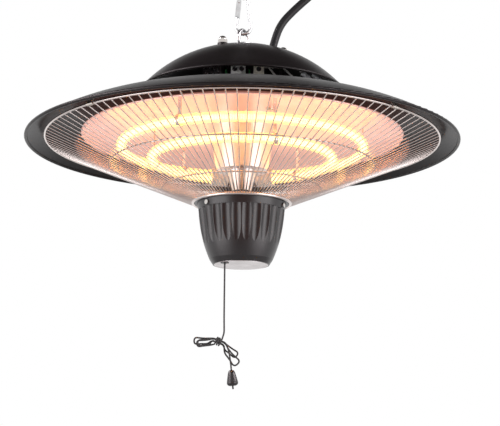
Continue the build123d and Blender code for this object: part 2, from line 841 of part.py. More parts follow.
# Terminal screws on the blocks' fronts, and earth screws that also hold the bracket on the chassis
earth_screw_top = block_base + earth_screw_head_height
earth_screw_places = [(earth_screw_left_x, earth_screw_front_y), (earth_screw_right_x, earth_screw_front_y)]
with BuildPart() as terminal_screws:
    with BuildSketch(block_front_plane):
        with Locations(*[(x, 0) for x in terminal_screw_x]):
            Circle(terminal_screw_radius)
    extrude(amount=-terminal_screw_length)
    with BuildSketch(block_front_plane):
        with Locations(*[(x, 0) for x in terminal_screw_x]):
            Circle(terminal_screw_head)
    extrude(amount=terminal_screw_head_height)
    with BuildSketch(level(block_base)):
        with Locations(*earth_screw_places):
            Circle(earth_screw_head)
    extrude(amount=earth_screw_head_height)
    with BuildSketch(level(hood_top)):
        with Locations(*earth_screw_places):
            Circle(earth_screw_radius)
    extrude(amount=block_base - hood_top)
terminal_screws.part.label = "terminal_screws"
export_step(terminal_screws.part, "parts/terminal_screws.step")

# Cable gland, square to the cap, with its nut inside
gland_top = gland_flange_height + gland_dome_height
with BuildPart() as cord_gland:
    with BuildSketch(gland_plane):
        Circle(gland_flange_radius)
    extrude(amount=gland_flange_height)
    with BuildSketch(gland_plane.offset(gland_flange_height)):
        Circle(gland_dome_radius)
    extrude(amount=gland_dome_height)
    chamfer(cord_gland.faces().filter_by(GeomType.PLANE).sort_by(Axis.Z)[-1].edges(), gland_dome_edge)
    with BuildSketch(gland_plane):
        Circle(gland_thread_radius)
    extrude(amount=-gland_thread_length)
    with BuildSketch(gland_plane.offset(-gland_thread_length)):
        Circle(cord_radius + fit_gap)
    extrude(amount=gland_thread_length + gland_top, mode=Mode.SUBTRACT)
cord_gland.part.label = "cord_gland"
export_step(cord_gland.part, "parts/cord_gland.step")

gland_nut_start = cap_wall + gland_nut_flats**2 / (6 * cap_sphere) + seat_gap
with BuildPart() as gland_nut:
    with BuildSketch(gland_plane.offset(-gland_nut_start)):
        RegularPolygon(gland_nut_flats / 2, 6, major_radius=False)
        Circle(gland_thread_radius + fit_gap, mode=Mode.SUBTRACT)
    extrude(amount=-gland_nut_height)
gland_nut.part.label = "gland_nut"
export_step(gland_nut.part, "parts/gland_nut.step")

# Mains cord inside the cap
cord_exit = gland_plane.origin + gland_normal * gland_top
cord_tail_end = gland_plane.origin - gland_normal * cord_tail_length
with BuildPart() as power_cord_tail:
    with BuildSketch(Plane(origin=cord_exit, z_dir=-gland_normal)):
        Circle(cord_radius)
    extrude(amount=gland_top + cord_tail_length)
power_cord_tail.part.label = "power_cord_tail"
export_step(power_cord_tail.part, "parts/power_cord_tail.step")

# Stations of the coil: two flat spirals, in and out again, joined by half a turn that changes layer
coil_inner_radius = coil_outer_radius - coil_pitch * coil_layer_turns
coil_stations = []
turn_parts = [number / coil_steps_per_layer for number in range(coil_steps_per_layer + 1)]
for part in turn_parts:
    turns = part * coil_layer_turns
    coil_stations.append((turns, coil_outer_radius - coil_pitch * turns, coil_back_y, -coil_pitch, 0))
half_way_turns = coil_layer_turns + 1 / 4
middle_y = (coil_back_y + coil_front_y) / 2
climb_slope = coil_climb_share * (coil_front_y - coil_back_y) * 2
coil_stations.append((half_way_turns, coil_inner_radius - coil_pitch / 4, middle_y, 0, climb_slope))
for part in turn_parts:
    turns = part * coil_layer_turns
    passed = coil_layer_turns + 1 / 2 + turns
    coil_stations.append((passed, coil_inner_radius + coil_pitch * turns, coil_front_y, coil_pitch, 0))
coil_route = []
for turns, radius, depth, growth, climb in coil_stations:
    angle = radians(coil_start_angle + 360 * turns)
    outward = Vector(cos(angle), 0, sin(angle))
    onward = Vector(-sin(angle), 0, cos(angle))
    point = place((coil_centre_x, depth, coil_centre_height)) + outward * radius
    heading = onward * (2 * pi * radius) + outward * growth + Vector(0, climb, 0)
    coil_route.append((point, heading.normalized()))
coil_start, coil_start_heading = coil_route[0]
coil_end, coil_end_heading = coil_route[-1]
coil_mouth = coil_start - coil_start_heading * (2 * cord_radius)
coil_exit = coil_end + coil_end_heading * (2 * cord_radius)
coil_route = [(coil_mouth, coil_start_heading)] + coil_route + [(coil_exit, coil_end_heading)]

# Mains cord from the gland up to the coil
power_route = [cord_exit, cord_exit + gland_normal * lead_up_length]
power_route += [place(point) for point in cord_bends]
power_route += [coil_mouth - coil_start_heading * lead_in_length, coil_mouth]
with BuildPart() as power_cord:
    with BuildLine() as power_line:
        FilletPolyline(*power_route, radius=corner_radii(power_route))
    with BuildSketch(Plane(origin=power_line.line @ 0, z_dir=power_line.line % 0)):
        Circle(cord_radius)
    sweep(path=power_line.line)
power_cord.part.label = "power_cord"
export_step(power_cord.part, "parts/power_cord.step")
print("power cord radii", [round(radius, 1) for radius in corner_radii(power_route)])
report_tube("power_cord", power_line.line, power_cord.part, cord_radius)

# Coil of the mains cord, put away beside the chain
with BuildPart() as power_cord_coil:
    with BuildLine() as coil_line:
        add_route(coil_route)
    with BuildSketch(Plane(origin=coil_line.line @ 0, z_dir=coil_line.line % 0)):
        Circle(cord_radius)
    sweep(path=coil_line.line)
power_cord_coil.part.label = "power_cord_coil"
export_step(power_cord_coil.part, "parts/power_cord_coil.step")
report_tube("power_cord_coil", coil_line.line, power_cord_coil.part, cord_radius)

# Mains cord from the coil over the chain and down to the plug
end_route = [coil_exit, coil_exit + coil_end_heading * lead_out_length]
for heading, run in zip(lead_out_headings, lead_out_runs):
    step = Vector(cos(radians(heading)), 0, sin(radians(heading))) * run
    end_route.append(end_route[-1] + step)
with BuildPart() as power_cord_end:
    with BuildLine() as end_line:
        FilletPolyline(*end_route, radius=corner_radii(end_route))
    with BuildSketch(Plane(origin=end_line.line @ 0, z_dir=end_line.line % 0)):
        Circle(cord_radius)
    sweep(path=end_line.line)
power_cord_end.part.label = "power_cord_end"
export_step(power_cord_end.part, "parts/power_cord_end.step")
print("cord end radii", [round(radius, 1) for radius in corner_radii(end_route)])
report_tube("power_cord_end", end_line.line, power_cord_end.part, cord_radius)

# Tie that holds the coil to the chain: a band round both, with its head at the front
coil_left = coil_centre_x - coil_outer_radius
coil_right = coil_centre_x - coil_inner_radius + coil_pitch / 4
tie_corners = [
    (coil_left, coil_front_y, cord_radius + slack_gap),
    (coil_right, coil_front_y, cord_radius + slack_gap),
    (coil_left, coil_back_y, cord_radius + slack_gap),
    (coil_right, coil_back_y, cord_radius + slack_gap),
    (0, -link_half_width, link_wire + slack_gap),
    (0, link_half_width, link_wire + slack_gap),
]
tie_front_y = -link_half_width - link_wire - slack_gap - tie_wall
with BuildPart() as cord_tie:
    with BuildSketch(level(tie_height - tie_width / 2)):
        for x, y, radius in tie_corners:
            with Locations((x, y)):
                Circle(radius + tie_wall)
        make_hull()
    extrude(amount=tie_width)
    with BuildSketch(level(tie_height - tie_width / 2 - tie_wall)):
        with Locations((0, tie_front_y - tie_head_depth / 2 + tie_wall)):
            Rectangle(tie_head_width, tie_head_depth)
    extrude(amount=tie_width + 2 * tie_wall)
    with BuildSketch(level(tie_height - tie_width)):
        for x, y, radius in tie_corners:
            with Locations((x, y)):
                Circle(radius)
        make_hull()
    extrude(amount=2 * tie_width, mode=Mode.SUBTRACT)
cord_tie.part.label = "cord_tie"
export_step(cord_tie.part, "parts/cord_tie.step")

# Plug on the cord's end, hanging straight down: its strain relief and body are one moulding
plug_top = end_route[-1]
plug_side = Plane(origin=plug_top, x_dir=(1, 0, 0), z_dir=(0, -1, 0))
plug_body_top = -relief_length
plug_bottom = plug_body_top - plug_length
with BuildPart() as plug_body:
    with BuildSketch(plug_side):
        with BuildLine():
            Polyline(
                (0, 0),
                (relief_start_radius, 0),
                (relief_end_radius, plug_body_top),
                (plug_rear_radius, plug_body_top),
                (plug_shoulder_radius, plug_body_top - plug_length * plug_shoulder_share),
                (plug_face_radius, plug_body_top - plug_length * plug_rim_share),
                (plug_face_radius, plug_bottom + plug_edge),
                (plug_face_radius - plug_edge, plug_bottom),
                (0, plug_bottom),
                (0, 0),
            )
        make_face()
    revolve(axis=Axis(plug_top, (0, 0, 1)))
    with BuildSketch(Plane(origin=plug_top + Vector(0, 0, plug_bottom), z_dir=(0, 0, 1))):
        with Locations((-pin_spacing / 2, 0), (pin_spacing / 2, 0)):
            Circle(pin_radius + fit_gap)
    extrude(amount=pin_root, mode=Mode.SUBTRACT)
plug_body.part.label = "plug_body"
export_step(plug_body.part, "parts/plug_body.step")

with BuildPart() as plug_pins:
    with BuildSketch(Plane(origin=plug_top + Vector(0, 0, plug_bottom - pin_length), z_dir=(0, 0, 1))):
        with Locations((-pin_spacing / 2, 0), (pin_spacing / 2, 0)):
            Circle(pin_radius)
    extrude(amount=pin_length + pin_root)
plug_pins.part.label = "plug_pins"
export_step(plug_pins.part, "parts/plug_pins.step")

# Leads to the blocks: two from the cord's end, and three that come straight down beside the rod from the cup
core_plane = Plane(origin=cord_tail_end, x_dir=(1, 0, 0), z_dir=-gland_normal)
switch_top = drum_height + switch_above
with BuildPart() as block_leads:
    for angle, drop, height, target in core_routes:
        across = lead_core_circle * cos(radians(angle))
        forward = lead_core_circle * sin(radians(angle))
        start = core_plane.from_local_coords((across, forward, 0))
        before = place((target, block_back + lead_straight, height))
        sweep_lead([start, start - gland_normal * drop, before, place((target, block_back, height))], lead_bend)
    for number, target in enumerate(switch_lead_targets):
        azimuth = radians(switch_lead_turn + 360 * number / switch_lead_count)
        x = switch_lead_circle * cos(azimuth)
        y = switch_lead_circle * sin(azimuth)
        points = [place((x, y, switch_top)), place((x, y, switch_lead_height))]
        points.append(place((target, block_back + lead_straight, switch_lead_height)))
        points.append(place((target, block_back, switch_lead_height)))
        sweep_lead(points, lead_bend)
block_leads.part.label = "block_leads"
export_step(block_leads.part, "parts/block_leads.step")

# Earth leads, down to their screws
earth_start = core_plane.from_local_coords((lead_core_circle, 0, 0))
with BuildPart() as earth_leads:
    sweep_lead(
        [
            earth_start,
            earth_start - gland_normal * lead_straight,
            place((earth_screw_right_x, block_back + lead_straight, earth_lead_height)),
            place((earth_screw_right_x, earth_screw_front_y, earth_lead_height)),
            place((earth_screw_right_x, earth_screw_front_y, earth_screw_top)),
        ],
        lead_bend,
    )
    sweep_lead(
        [
            place((earth_screw_left_x, earth_screw_front_y, earth_screw_top)),
            place((earth_screw_left_x, earth_screw_front_y, earth_lead_height)),
            place((earth_screw_left_x, earth_lead_back_y, earth_lead_height)),
            place((earth_screw_left_x, earth_lead_back_y, block_base)),
        ],
        lead_bend,
    )
earth_leads.part.label = "earth_leads"
export_step(earth_leads.part, "parts/earth_leads.step")

# Reflector: a shallow dish under the hood, with openings for the rod, the screws and the tubes' stems
tube_rings = {
    "outer": (outer_ring_radius, outer_ring_height, outer_clip_turn),
    "inner": (inner_ring_radius, inner_ring_height, inner_clip_turn),
}
stem_points = {}
for name, (ring, height, turn) in tube_rings.items():
    reach = tube_break / 2 - (end_cap_length - end_cap_socket) / 2
    for side_name, sense in (("left", 1), ("right", -1)):
        angle = radians(tube_break_azimuth) + sense * reach / ring
        stem_points[name, side_name] = (ring * cos(angle), ring * sin(angle))
with BuildPart() as reflector:
    with BuildSketch(side):
        with BuildLine():
            centre = (reflector_flat_radius, reflector_top_height - reflector_arc)
            inner = CenterArc(centre, reflector_arc, 90, -reflector_sweep)
            outer = CenterArc(centre, reflector_arc + reflector_wall, 90, -reflector_sweep)
            Line(outer @ 1, inner @ 1)
            Polyline(
                outer @ 0,
                (reflector_opening, reflector_upper_height),
                (reflector_opening, reflector_top_height),
                inner @ 0,
            )
        make_face()
        with Locations((outer @ 1 + inner @ 1) / 2):
            Circle(reflector_bead)
    revolve(axis=Axis((0, 0, rim_z), (0, 0, 1)))
    with BuildSketch(level(reflector_rim_height)):
        with PolarLocations(reflector_post_circle, reflector_post_count, start_angle=reflector_post_turn):
            Circle(reflector_screw_radius + fit_gap)
        with Locations(*stem_points.values()):
            Circle(end_stem_radius + fit_gap)
    extrude(amount=hood_top - reflector_rim_height, mode=Mode.SUBTRACT)
reflector.part.label = "reflector"
export_step(reflector.part, "parts/reflector.step")

# Spacers and screws that hold the reflector under the hood
with BuildPart() as reflector_spacers:
    with BuildSketch(level(reflector_upper_height)):
        with PolarLocations(reflector_post_circle, reflector_post_count, start_angle=reflector_post_turn):
            Circle(reflector_post_radius)
            Circle(reflector_screw_radius + fit_gap, mode=Mode.SUBTRACT)
    extrude(amount=hood_underside - reflector_upper_height)
reflector_spacers.part.label = "reflector_spacers"
export_step(reflector_spacers.part, "parts/reflector_spacers.step")

with BuildPart() as reflector_screws:
    with BuildSketch(level(reflector_top_height)):
        with PolarLocations(reflector_post_circle, reflector_post_count, start_angle=reflector_post_turn):
            Circle(reflector_screw_head)
    extrude(amount=-reflector_screw_head_height)
    fillet(reflector_screws.edges().group_by(Axis.Z)[0], reflector_screw_head_height * midway_share)
    with BuildSketch(level(reflector_top_height)):
        with PolarLocations(reflector_post_circle, reflector_post_count, start_angle=reflector_post_turn):
            Circle(reflector_screw_radius)
    extrude(amount=chassis_top - reflector_top_height + reflector_screw_overhang)
reflector_screws.part.label = "reflector_screws"
export_step(reflector_screws.part, "parts/reflector_screws.step")

# Heating tubes: two open glass rings
tube_plans = []
for name, (ring, height, turn) in tube_rings.items():
    half_break = degrees(tube_break / 2 / ring)
    start_plane = upright(tube_break_azimuth + half_break)
    tube_plans.append((name, ring, height, turn, half_break, start_plane))
    with BuildPart() as tube:
        with BuildSketch(start_plane):
            with Locations((ring, height)):
                Circle(tube_radius)
                Circle(tube_radius - tube_wall, mode=Mode.SUBTRACT)
        revolve(axis=Axis((0, 0, rim_z), (0, 0, 1)), revolution_arc=360 - 2 * half_break)
    tube.part.label = f"{name}_tube"
    export_step(tube.part, f"parts/{name}_tube.step")

# Filaments in the tubes
with BuildPart() as filaments:
    for name, ring, height, turn, half_break, start_plane in tube_plans:
        with BuildSketch(start_plane):
            with Locations((ring, height)):
                Circle(filament_radius)
        revolve(axis=Axis((0, 0, rim_z), (0, 0, 1)), revolution_arc=360 - 2 * half_break)
filaments.part.label = "filaments"
export_step(filaments.part, "parts/filaments.step")

# End caps of the tubes, each with a stem up through the reflector
with BuildPart() as tube_caps:
    for name, ring, height, turn, half_break, start_plane in tube_plans:
        socket_angle = degrees(end_cap_socket / ring)
        cap_angle = degrees(end_cap_length / ring)
        stem_top = reflector_underside(ring) + reflector_wall + end_stem_overhang
        for sense in (1, -1):
            with BuildSketch(upright(tube_break_azimuth + sense * (half_break + socket_angle))):
                with Locations((ring, height)):
                    Circle(end_cap_radius)
            revolve(axis=Axis((0, 0, rim_z), (0, 0, 1)), revolution_arc=-sense * cap_angle)
        with BuildSketch(level(height)):
            with Locations(stem_points[name, "left"], stem_points[name, "right"]):
                Circle(end_stem_radius)
        extrude(amount=stem_top - height)
        for sense in (1, -1):
            with BuildSketch(upright(tube_break_azimuth + sense * half_break)):
                with Locations((ring, height)):
                    Circle(tube_radius + fit_gap)
            revolve(
                axis=Axis((0, 0, rim_z), (0, 0, 1)),
                revolution_arc=sense * (socket_angle + cut_angle),
                mode=Mode.SUBTRACT,
            )
tube_caps.part.label = "tube_caps"
export_step(tube_caps.part, "parts/tube_caps.step")

# Spring clips of the tubes, hanging from the reflector
with BuildPart() as tube_clips:
    for name, ring, height, turn, half_break, start_plane in tube_plans:
        stem_inside = reflector_underside(ring - clip_wall / 2) - clip_top_gap
        stem_outside = reflector_underside(ring + clip_wall / 2) - clip_top_gap
        for number in range(clip_count):
            with BuildSketch(upright(turn + 360 * number / clip_count)):
                with Locations((ring, height)):
                    Circle(tube_radius + fit_gap + clip_wall)
                with BuildLine():
                    Polyline(
                        (ring - clip_wall / 2, height),
                        (ring + clip_wall / 2, height),
                        (ring + clip_wall / 2, stem_outside),
                        (ring - clip_wall / 2, stem_inside),
                        (ring - clip_wall / 2, height),
                    )
                make_face()
                with Locations((ring, height)):
                    Circle(tube_radius + fit_gap, mode=Mode.SUBTRACT)
                with Locations((ring, height - tube_radius)):
                    Rectangle(clip_mouth, 2 * clip_wall + tube_radius, mode=Mode.SUBTRACT)
            extrude(amount=clip_width / 2, both=True)
tube_clips.part.label = "tube_clips"
export_step(tube_clips.part, "parts/tube_clips.step")

# Element leads, from their block down through the chassis and out to the tubes' stems
lead_stems = [("inner", "left"), ("outer", "left"), ("outer", "right"), ("inner", "right")]
with BuildPart() as element_leads:
    for number, (name, side_name) in enumerate(lead_stems):
        y, slant_start, slant_end = element_lead_slants[number]
        turn_x, turn_y = element_lead_turns[number]
        hole_x = element_lead_holes_x[number]
        stem_x, stem_y = stem_points[name, side_name]
        stem_top = reflector_underside(tube_rings[name][0]) + reflector_wall + end_stem_overhang
        points = [
            place((element_block_x + element_block_width / 2, y, element_lead_top_height)),
            place((slant_start, y, element_lead_top_height)),
            place((slant_end, y, element_lead_low_height)),
            place((turn_x, turn_y, element_lead_low_height)),
            place((hole_x, element_lead_holes_y, element_lead_low_height)),
            place((hole_x, element_lead_holes_y, element_lead_under_height)),
        ]
        if (name, side_name) == ("outer", "right"):
            points.append(place((*element_lead_passing, element_lead_under_height)))
        points.append(place((stem_x, stem_y, element_lead_under_height)))
        points.append(place((stem_x, stem_y, stem_top)))
        sweep_lead(points, lead_small_bend)
element_leads.part.label = "element_leads"
export_step(element_leads.part, "parts/element_leads.step")

# Insulating sleeves on the two longest slants
with BuildPart() as lead_sleeves:
    for y, slant_start, slant_end in element_lead_slants[2:]:
        top = place((slant_start, y, element_lead_top_height))
        fall = place((slant_end, y, element_lead_low_height)) - top
        with BuildSketch(Plane(origin=top + fall * sleeve_start_share, z_dir=fall)):
            Circle(sleeve_radius)
            Circle(sleeve_bore, mode=Mode.SUBTRACT)
        extrude(amount=fall.length * (sleeve_end_share - sleeve_start_share))
lead_sleeves.part.label = "lead_sleeves"
export_step(lead_sleeves.part, "parts/lead_sleeves.step")

# Hub cone under the reflector, and the tube under it
with BuildPart() as hub_cone:
    with BuildSketch(side):
        with BuildLine():
            Polyline(
                (hub_top_radius, reflector_top_height),
                (hub_bottom_radius, hub_bottom_height),
                (0, hub_bottom_height),
                (0, hub_bottom_height + hub_wall),
                (hub_bottom_radius - hub_wall, hub_bottom_height + hub_wall),
                (hub_top_radius - hub_wall, reflector_top_height),
                (hub_top_radius, reflector_top_height),
            )
        make_face()
    revolve(axis=Axis((0, 0, rim_z), (0, 0, 1)))
    with BuildSketch(level(hub_bottom_height)):
        Circle(rod_radius + fit_gap)
        with PolarLocations(switch_lead_circle, switch_lead_count, start_angle=switch_lead_turn):
            Circle(hub_lead_hole)
    extrude(amount=hub_wall, mode=Mode.SUBTRACT)
hub_cone.part.label = "hub_cone"
export_step(hub_cone.part, "parts/hub_cone.step")

with BuildPart() as centre_tube:
    with BuildSketch(side):
        with BuildLine():
            Polyline(
                (centre_tube_top_radius, hub_bottom_height),
                (centre_tube_bottom_radius, centre_tube_bottom_height),
                (centre_tube_bottom_radius - centre_tube_wall, centre_tube_bottom_height),
                (centre_tube_top_radius - centre_tube_wall, hub_bottom_height),
                (centre_tube_top_radius, hub_bottom_height),
            )
        make_face()
    revolve(axis=Axis((0, 0, rim_z), (0, 0, 1)))
centre_tube.part.label = "centre_tube"
export_step(centre_tube.part, "parts/centre_tube.step")

# Centre rod, from the eye down to the cup's lid, and its nuts
lid_bottom = lid_height
rod_bottom = lid_bottom - rod_nut_height - rod_overhang
with BuildPart() as centre_rod:
    with BuildSketch(level(rod_bottom)):
        Circle(rod_radius)
    extrude(amount=rod_top_z - rim_z - rod_bottom)
centre_rod.part.label = "centre_rod"
export_step(centre_rod.part, "parts/centre_rod.step")

cap_nut_level = arc_height(rod_nut_flats / sqrt(3), cap_inner, 0, cap_centre_height)
with BuildPart() as rod_nuts:
    for height in (cap_nut_level - rod_nut_height, chassis_top, hood_top - rod_nut_height, lid_bottom - rod_nut_height):
        with BuildSketch(level(height)):
            RegularPolygon(rod_nut_flats / 2, 6, major_radius=False)
            Circle(rod_radius + fit_gap, mode=Mode.SUBTRACT)
        extrude(amount=rod_nut_height)
rod_nuts.part.label = "rod_nuts"
export_step(rod_nuts.part, "parts/rod_nuts.step")

# Guard: an outer ring, a bottom ring and two thin rings between them, with straight wires welded to them
guard_run = Vector(guard_bottom_radius - guard_radius, guard_bottom_height - guard_height)
guard_up = Vector(guard_run.Y, -guard_run.X).normalized()
guard_slope = guard_run.normalized()
ring_sections = [
    (Vector(guard_radius, guard_height), guard_ring_wire),
    (Vector(guard_bottom_radius, guard_bottom_height), guard_bottom_wire),
]
for share in (guard_middle_share, guard_lower_share):
    ring_offset = guard_up * (guard_wire + guard_middle_wire - weld_depth)
    ring_sections.append((Vector(guard_radius, guard_height) + guard_run * share + ring_offset, guard_middle_wire))
with BuildPart() as guard_rings:
    with BuildSketch(side):
        for point, radius in ring_sections:
            with Locations((point.X, point.Y)):
                Circle(radius)
    revolve(axis=Axis((0, 0, rim_z), (0, 0, 1)))
guard_rings.part.label = "guard_rings"
export_step(guard_rings.part, "parts/guard_rings.step")

wire_start = Vector(guard_radius, guard_height) + guard_slope * (guard_ring_wire - weld_depth)
wire_length = guard_run.length - guard_ring_wire - guard_bottom_wire + 2 * weld_depth
wire_planes = []
for number in range(guard_wire_count):
    azimuth = radians(360 * (number + midway_share) / guard_wire_count)
    out = Vector(cos(azimuth), sin(azimuth), 0)
    origin = out * wire_start.X + Vector(0, 0, rim_z + wire_start.Y)
    wire_planes.append(Plane(origin=origin, z_dir=out * guard_slope.X + Vector(0, 0, guard_slope.Y)))
with BuildPart() as guard_wires:
    with BuildSketch(*wire_planes):
        Circle(guard_wire)
    extrude(amount=wire_length)
guard_wires.part.label = "guard_wires"
export_step(guard_wires.part, "parts/guard_wires.step")

# Clips that hold the guard's outer ring inside the hood
clip_in = guard_radius - guard_clip_wall / 2
clip_out = guard_radius + guard_clip_wall / 2
clip_bore = guard_ring_wire + fit_gap
with BuildPart() as guard_clips:
    for number in range(guard_clip_count):
        with BuildSketch(upright(guard_clip_turn + 360 * number / guard_clip_count)):
            with Locations((guard_radius, guard_height)):
                Circle(clip_bore + guard_clip_wall)
            with BuildLine():
                Polyline(
                    (clip_in, guard_height),
                    (clip_out, guard_height),
                    (clip_out, hood_inside(clip_out) - clip_top_gap),
                    (clip_in, hood_inside(clip_in) - clip_top_gap),
                    (clip_in, guard_height),
                )
            make_face()
            with Locations((guard_radius, guard_height)):
                Circle(clip_bore, mode=Mode.SUBTRACT)
            with Locations((guard_radius, guard_height - clip_bore)):
                Rectangle(clip_bore, clip_bore + 2 * guard_clip_wall, mode=Mode.SUBTRACT)
        extrude(amount=guard_clip_width / 2, both=True)
guard_clips.part.label = "guard_clips"
export_step(guard_clips.part, "parts/guard_clips.step")

# Lid of the cup: a disc inside the guard's bottom ring, with a boss up to the centre tube and a skirt in the cup
lid_radius = guard_bottom_radius - guard_bottom_wire - fit_gap
band_slope = (cup_top_radius - cup_band_radius) / (lid_height - cup_band_height)
body_slope = (cup_band_radius - cup_middle_radius) / (cup_band_height - cup_middle_height)
skirt_bottom = lid_height - lid_skirt_depth
skirt_radius = cup_band_radius - body_slope * (cup_band_height - skirt_bottom) - cup_wall - fit_gap
skirt_inner = skirt_radius - lid_skirt_wall
screw_planes = [
    upright(front_azimuth + cup_screw_turn + 360 * number / cup_screw_count) for number in range(cup_screw_count)
]
screw_seat = cup_top_radius - band_slope * (lid_height - cup_screw_height)
radial_planes = [
    Plane(origin=plane.from_local_coords((screw_seat, cup_screw_height, 0)), z_dir=plane.x_dir) for plane in screw_planes
]
with BuildPart() as cup_lid:
    with BuildSketch(side):
        with BuildLine():
            Polyline(
                (0, centre_tube_bottom_height),
                (centre_tube_bottom_radius, centre_tube_bottom_height),
                (centre_tube_bottom_radius, lid_height + lid_thickness),
                (lid_radius, lid_height + lid_thickness),
                (lid_radius, lid_height),
                (skirt_radius, lid_height),
                (skirt_radius, skirt_bottom),
                (skirt_inner, skirt_bottom),
                (skirt_inner, lid_height),
                (0, lid_height),
                (0, centre_tube_bottom_height),
            )
        make_face()
    revolve(axis=Axis((0, 0, rim_z), (0, 0, 1)))
    with BuildSketch(level(skirt_bottom)):
        Circle(rod_radius + fit_gap)
        with PolarLocations(switch_lead_circle, switch_lead_count, start_angle=switch_lead_turn):
            Circle(lead_radius + fit_gap)
    extrude(amount=centre_tube_bottom_height - skirt_bottom, mode=Mode.SUBTRACT)
    with BuildSketch(*radial_planes):
        Circle(cup_screw_radius + fit_gap)
    extrude(amount=-cup_screw_length - cut_overrun, mode=Mode.SUBTRACT)
cup_lid.part.label = "cup_lid"
export_step(cup_lid.part, "parts/cup_lid.step")

# Cup: the switch's housing, fluted outside, with a foot for the switch and a recess for the bottom disc
recess_top = cup_bottom_height + disc_recess
floor_top = recess_top + cup_floor
cup_middle = (cup_middle_radius, cup_middle_height)
flute_top_radius = cup_band_radius - body_slope * (cup_band_height - flute_top_height) - flute_top_depth
tip_share = (flute_tip_height - cup_middle_height) / (cup_shoulder_height - cup_middle_height)
flute_tip_radius = cup_middle_radius - (cup_middle_radius - cup_shoulder_radius) * tip_share * flute_tip_in_share
flute_tilt = atan2(flute_top_radius - flute_tip_radius, flute_top_height - flute_tip_height)
flute_planes = []
for number in range(flute_count):
    azimuth = radians(front_azimuth + flute_turn + 360 * number / flute_count)
    out = Vector(cos(azimuth), sin(azimuth), 0)
    radius = flute_top_radius + flute_cutter_radius * cos(flute_tilt)
    height = flute_top_height - flute_cutter_radius * sin(flute_tilt)
    along = -out * sin(flute_tilt) - Vector(0, 0, cos(flute_tilt))
    flute_planes.append(Plane(origin=out * radius + Vector(0, 0, rim_z + height), z_dir=along))
with BuildPart() as cup:
    with BuildSketch(side):
        with BuildLine():
            Line((0, recess_top), (disc_radius + fit_gap, recess_top))
            Line((disc_radius + fit_gap, recess_top), (disc_radius + fit_gap, cup_bottom_height))
            Line((disc_radius + fit_gap, cup_bottom_height), (cup_bottom_radius, cup_bottom_height))
            Line((cup_bottom_radius, cup_bottom_height), (cup_shoulder_radius, cup_shoulder_height))
            ThreePointArc(
                (cup_shoulder_radius, cup_shoulder_height), cup_middle, (cup_band_radius, cup_band_height)
            )
            Line((cup_band_radius, cup_band_height), (cup_top_radius, lid_height))
            Line((cup_top_radius, lid_height), (cup_top_radius - cup_wall, lid_height))
            Line((cup_top_radius - cup_wall, lid_height), (cup_band_radius - cup_wall, cup_band_height))
            ThreePointArc(
                (cup_band_radius - cup_wall, cup_band_height),
                (cup_middle_radius - cup_wall, cup_middle_height),
                (cup_shoulder_radius - cup_wall, cup_shoulder_height),
            )
            Line((cup_shoulder_radius - cup_wall, cup_shoulder_height), (cup_shoulder_radius - cup_wall, floor_top))
            Line((cup_shoulder_radius - cup_wall, floor_top), (0, floor_top))
            Line((0, floor_top), (0, recess_top))
        make_face()
    revolve(axis=Axis((0, 0, rim_z), (0, 0, 1)))
    with BuildSketch(*flute_planes):
        Circle(flute_cutter_radius)
    extrude(amount=flute_top_height - cup_bottom_height, mode=Mode.SUBTRACT)
    with BuildSketch(*radial_planes):
        Circle(cup_screw_head + slack_gap / 2)
    extrude(amount=cup_screw_head, mode=Mode.SUBTRACT)
    with BuildSketch(*radial_planes):
        Circle(cup_screw_radius + fit_gap)
    extrude(amount=-cup_screw_length - cut_overrun, mode=Mode.SUBTRACT)
    with BuildSketch(level(recess_top)):
        with Locations((pull_x, pull_y)):
            Circle(bush_radius + fit_gap)
    extrude(amount=cup_floor, mode=Mode.SUBTRACT)
    with BuildSketch(level(floor_top)):
        with Locations((switch_foot_x, (switch_foot_front + switch_foot_back) / 2)):
            Rectangle(2 * switch_foot_half_width, switch_foot_back - switch_foot_front)
    extrude(amount=drum_height - switch_below - floor_top)
cup.part.label = "cup"
export_step(cup.part, "parts/cup.step")

# Screws of the cup
with BuildPart() as cup_screws:
    with BuildSketch(*radial_planes):
        Circle(cup_screw_head)
    extrude(amount=cup_screw_head_height)
    with BuildSketch(*radial_planes):
        Circle(cup_screw_radius)
    extrude(amount=-cup_screw_length)
cup_screws.part.label = "cup_screws"
export_step(cup_screws.part, "parts/cup_screws.step")

# Bottom disc in the cup's recess
with BuildPart() as cup_disc:
    with BuildSketch(level(recess_top - disc_thickness)):
        Circle(disc_radius)
        with Locations((pull_x, pull_y)):
            Circle(bush_radius + fit_gap, mode=Mode.SUBTRACT)
    extrude(amount=disc_thickness)
cup_disc.part.label = "cup_disc"
export_step(cup_disc.part, "parts/cup_disc.step")

# Bush for the pull cord, with a flange under the disc
with BuildPart() as cord_bush:
    with BuildSketch(level(recess_top - disc_thickness)):
        with Locations((pull_x, pull_y)):
            Circle(bush_flange_radius)
    extrude(amount=-bush_flange_height)
    with BuildSketch(level(recess_top - disc_thickness)):
        with Locations((pull_x, pull_y)):
            Circle(bush_radius)
    extrude(amount=disc_thickness + cup_floor + bush_flange_height)
    with BuildSketch(level(recess_top - disc_thickness - bush_flange_height)):
        with Locations((pull_x, pull_y)):
            Circle(bush_bore)
    extrude(amount=disc_thickness + cup_floor + 2 * bush_flange_height, mode=Mode.SUBTRACT)
cord_bush.part.label = "cord_bush"
export_step(cord_bush.part, "parts/cord_bush.step")

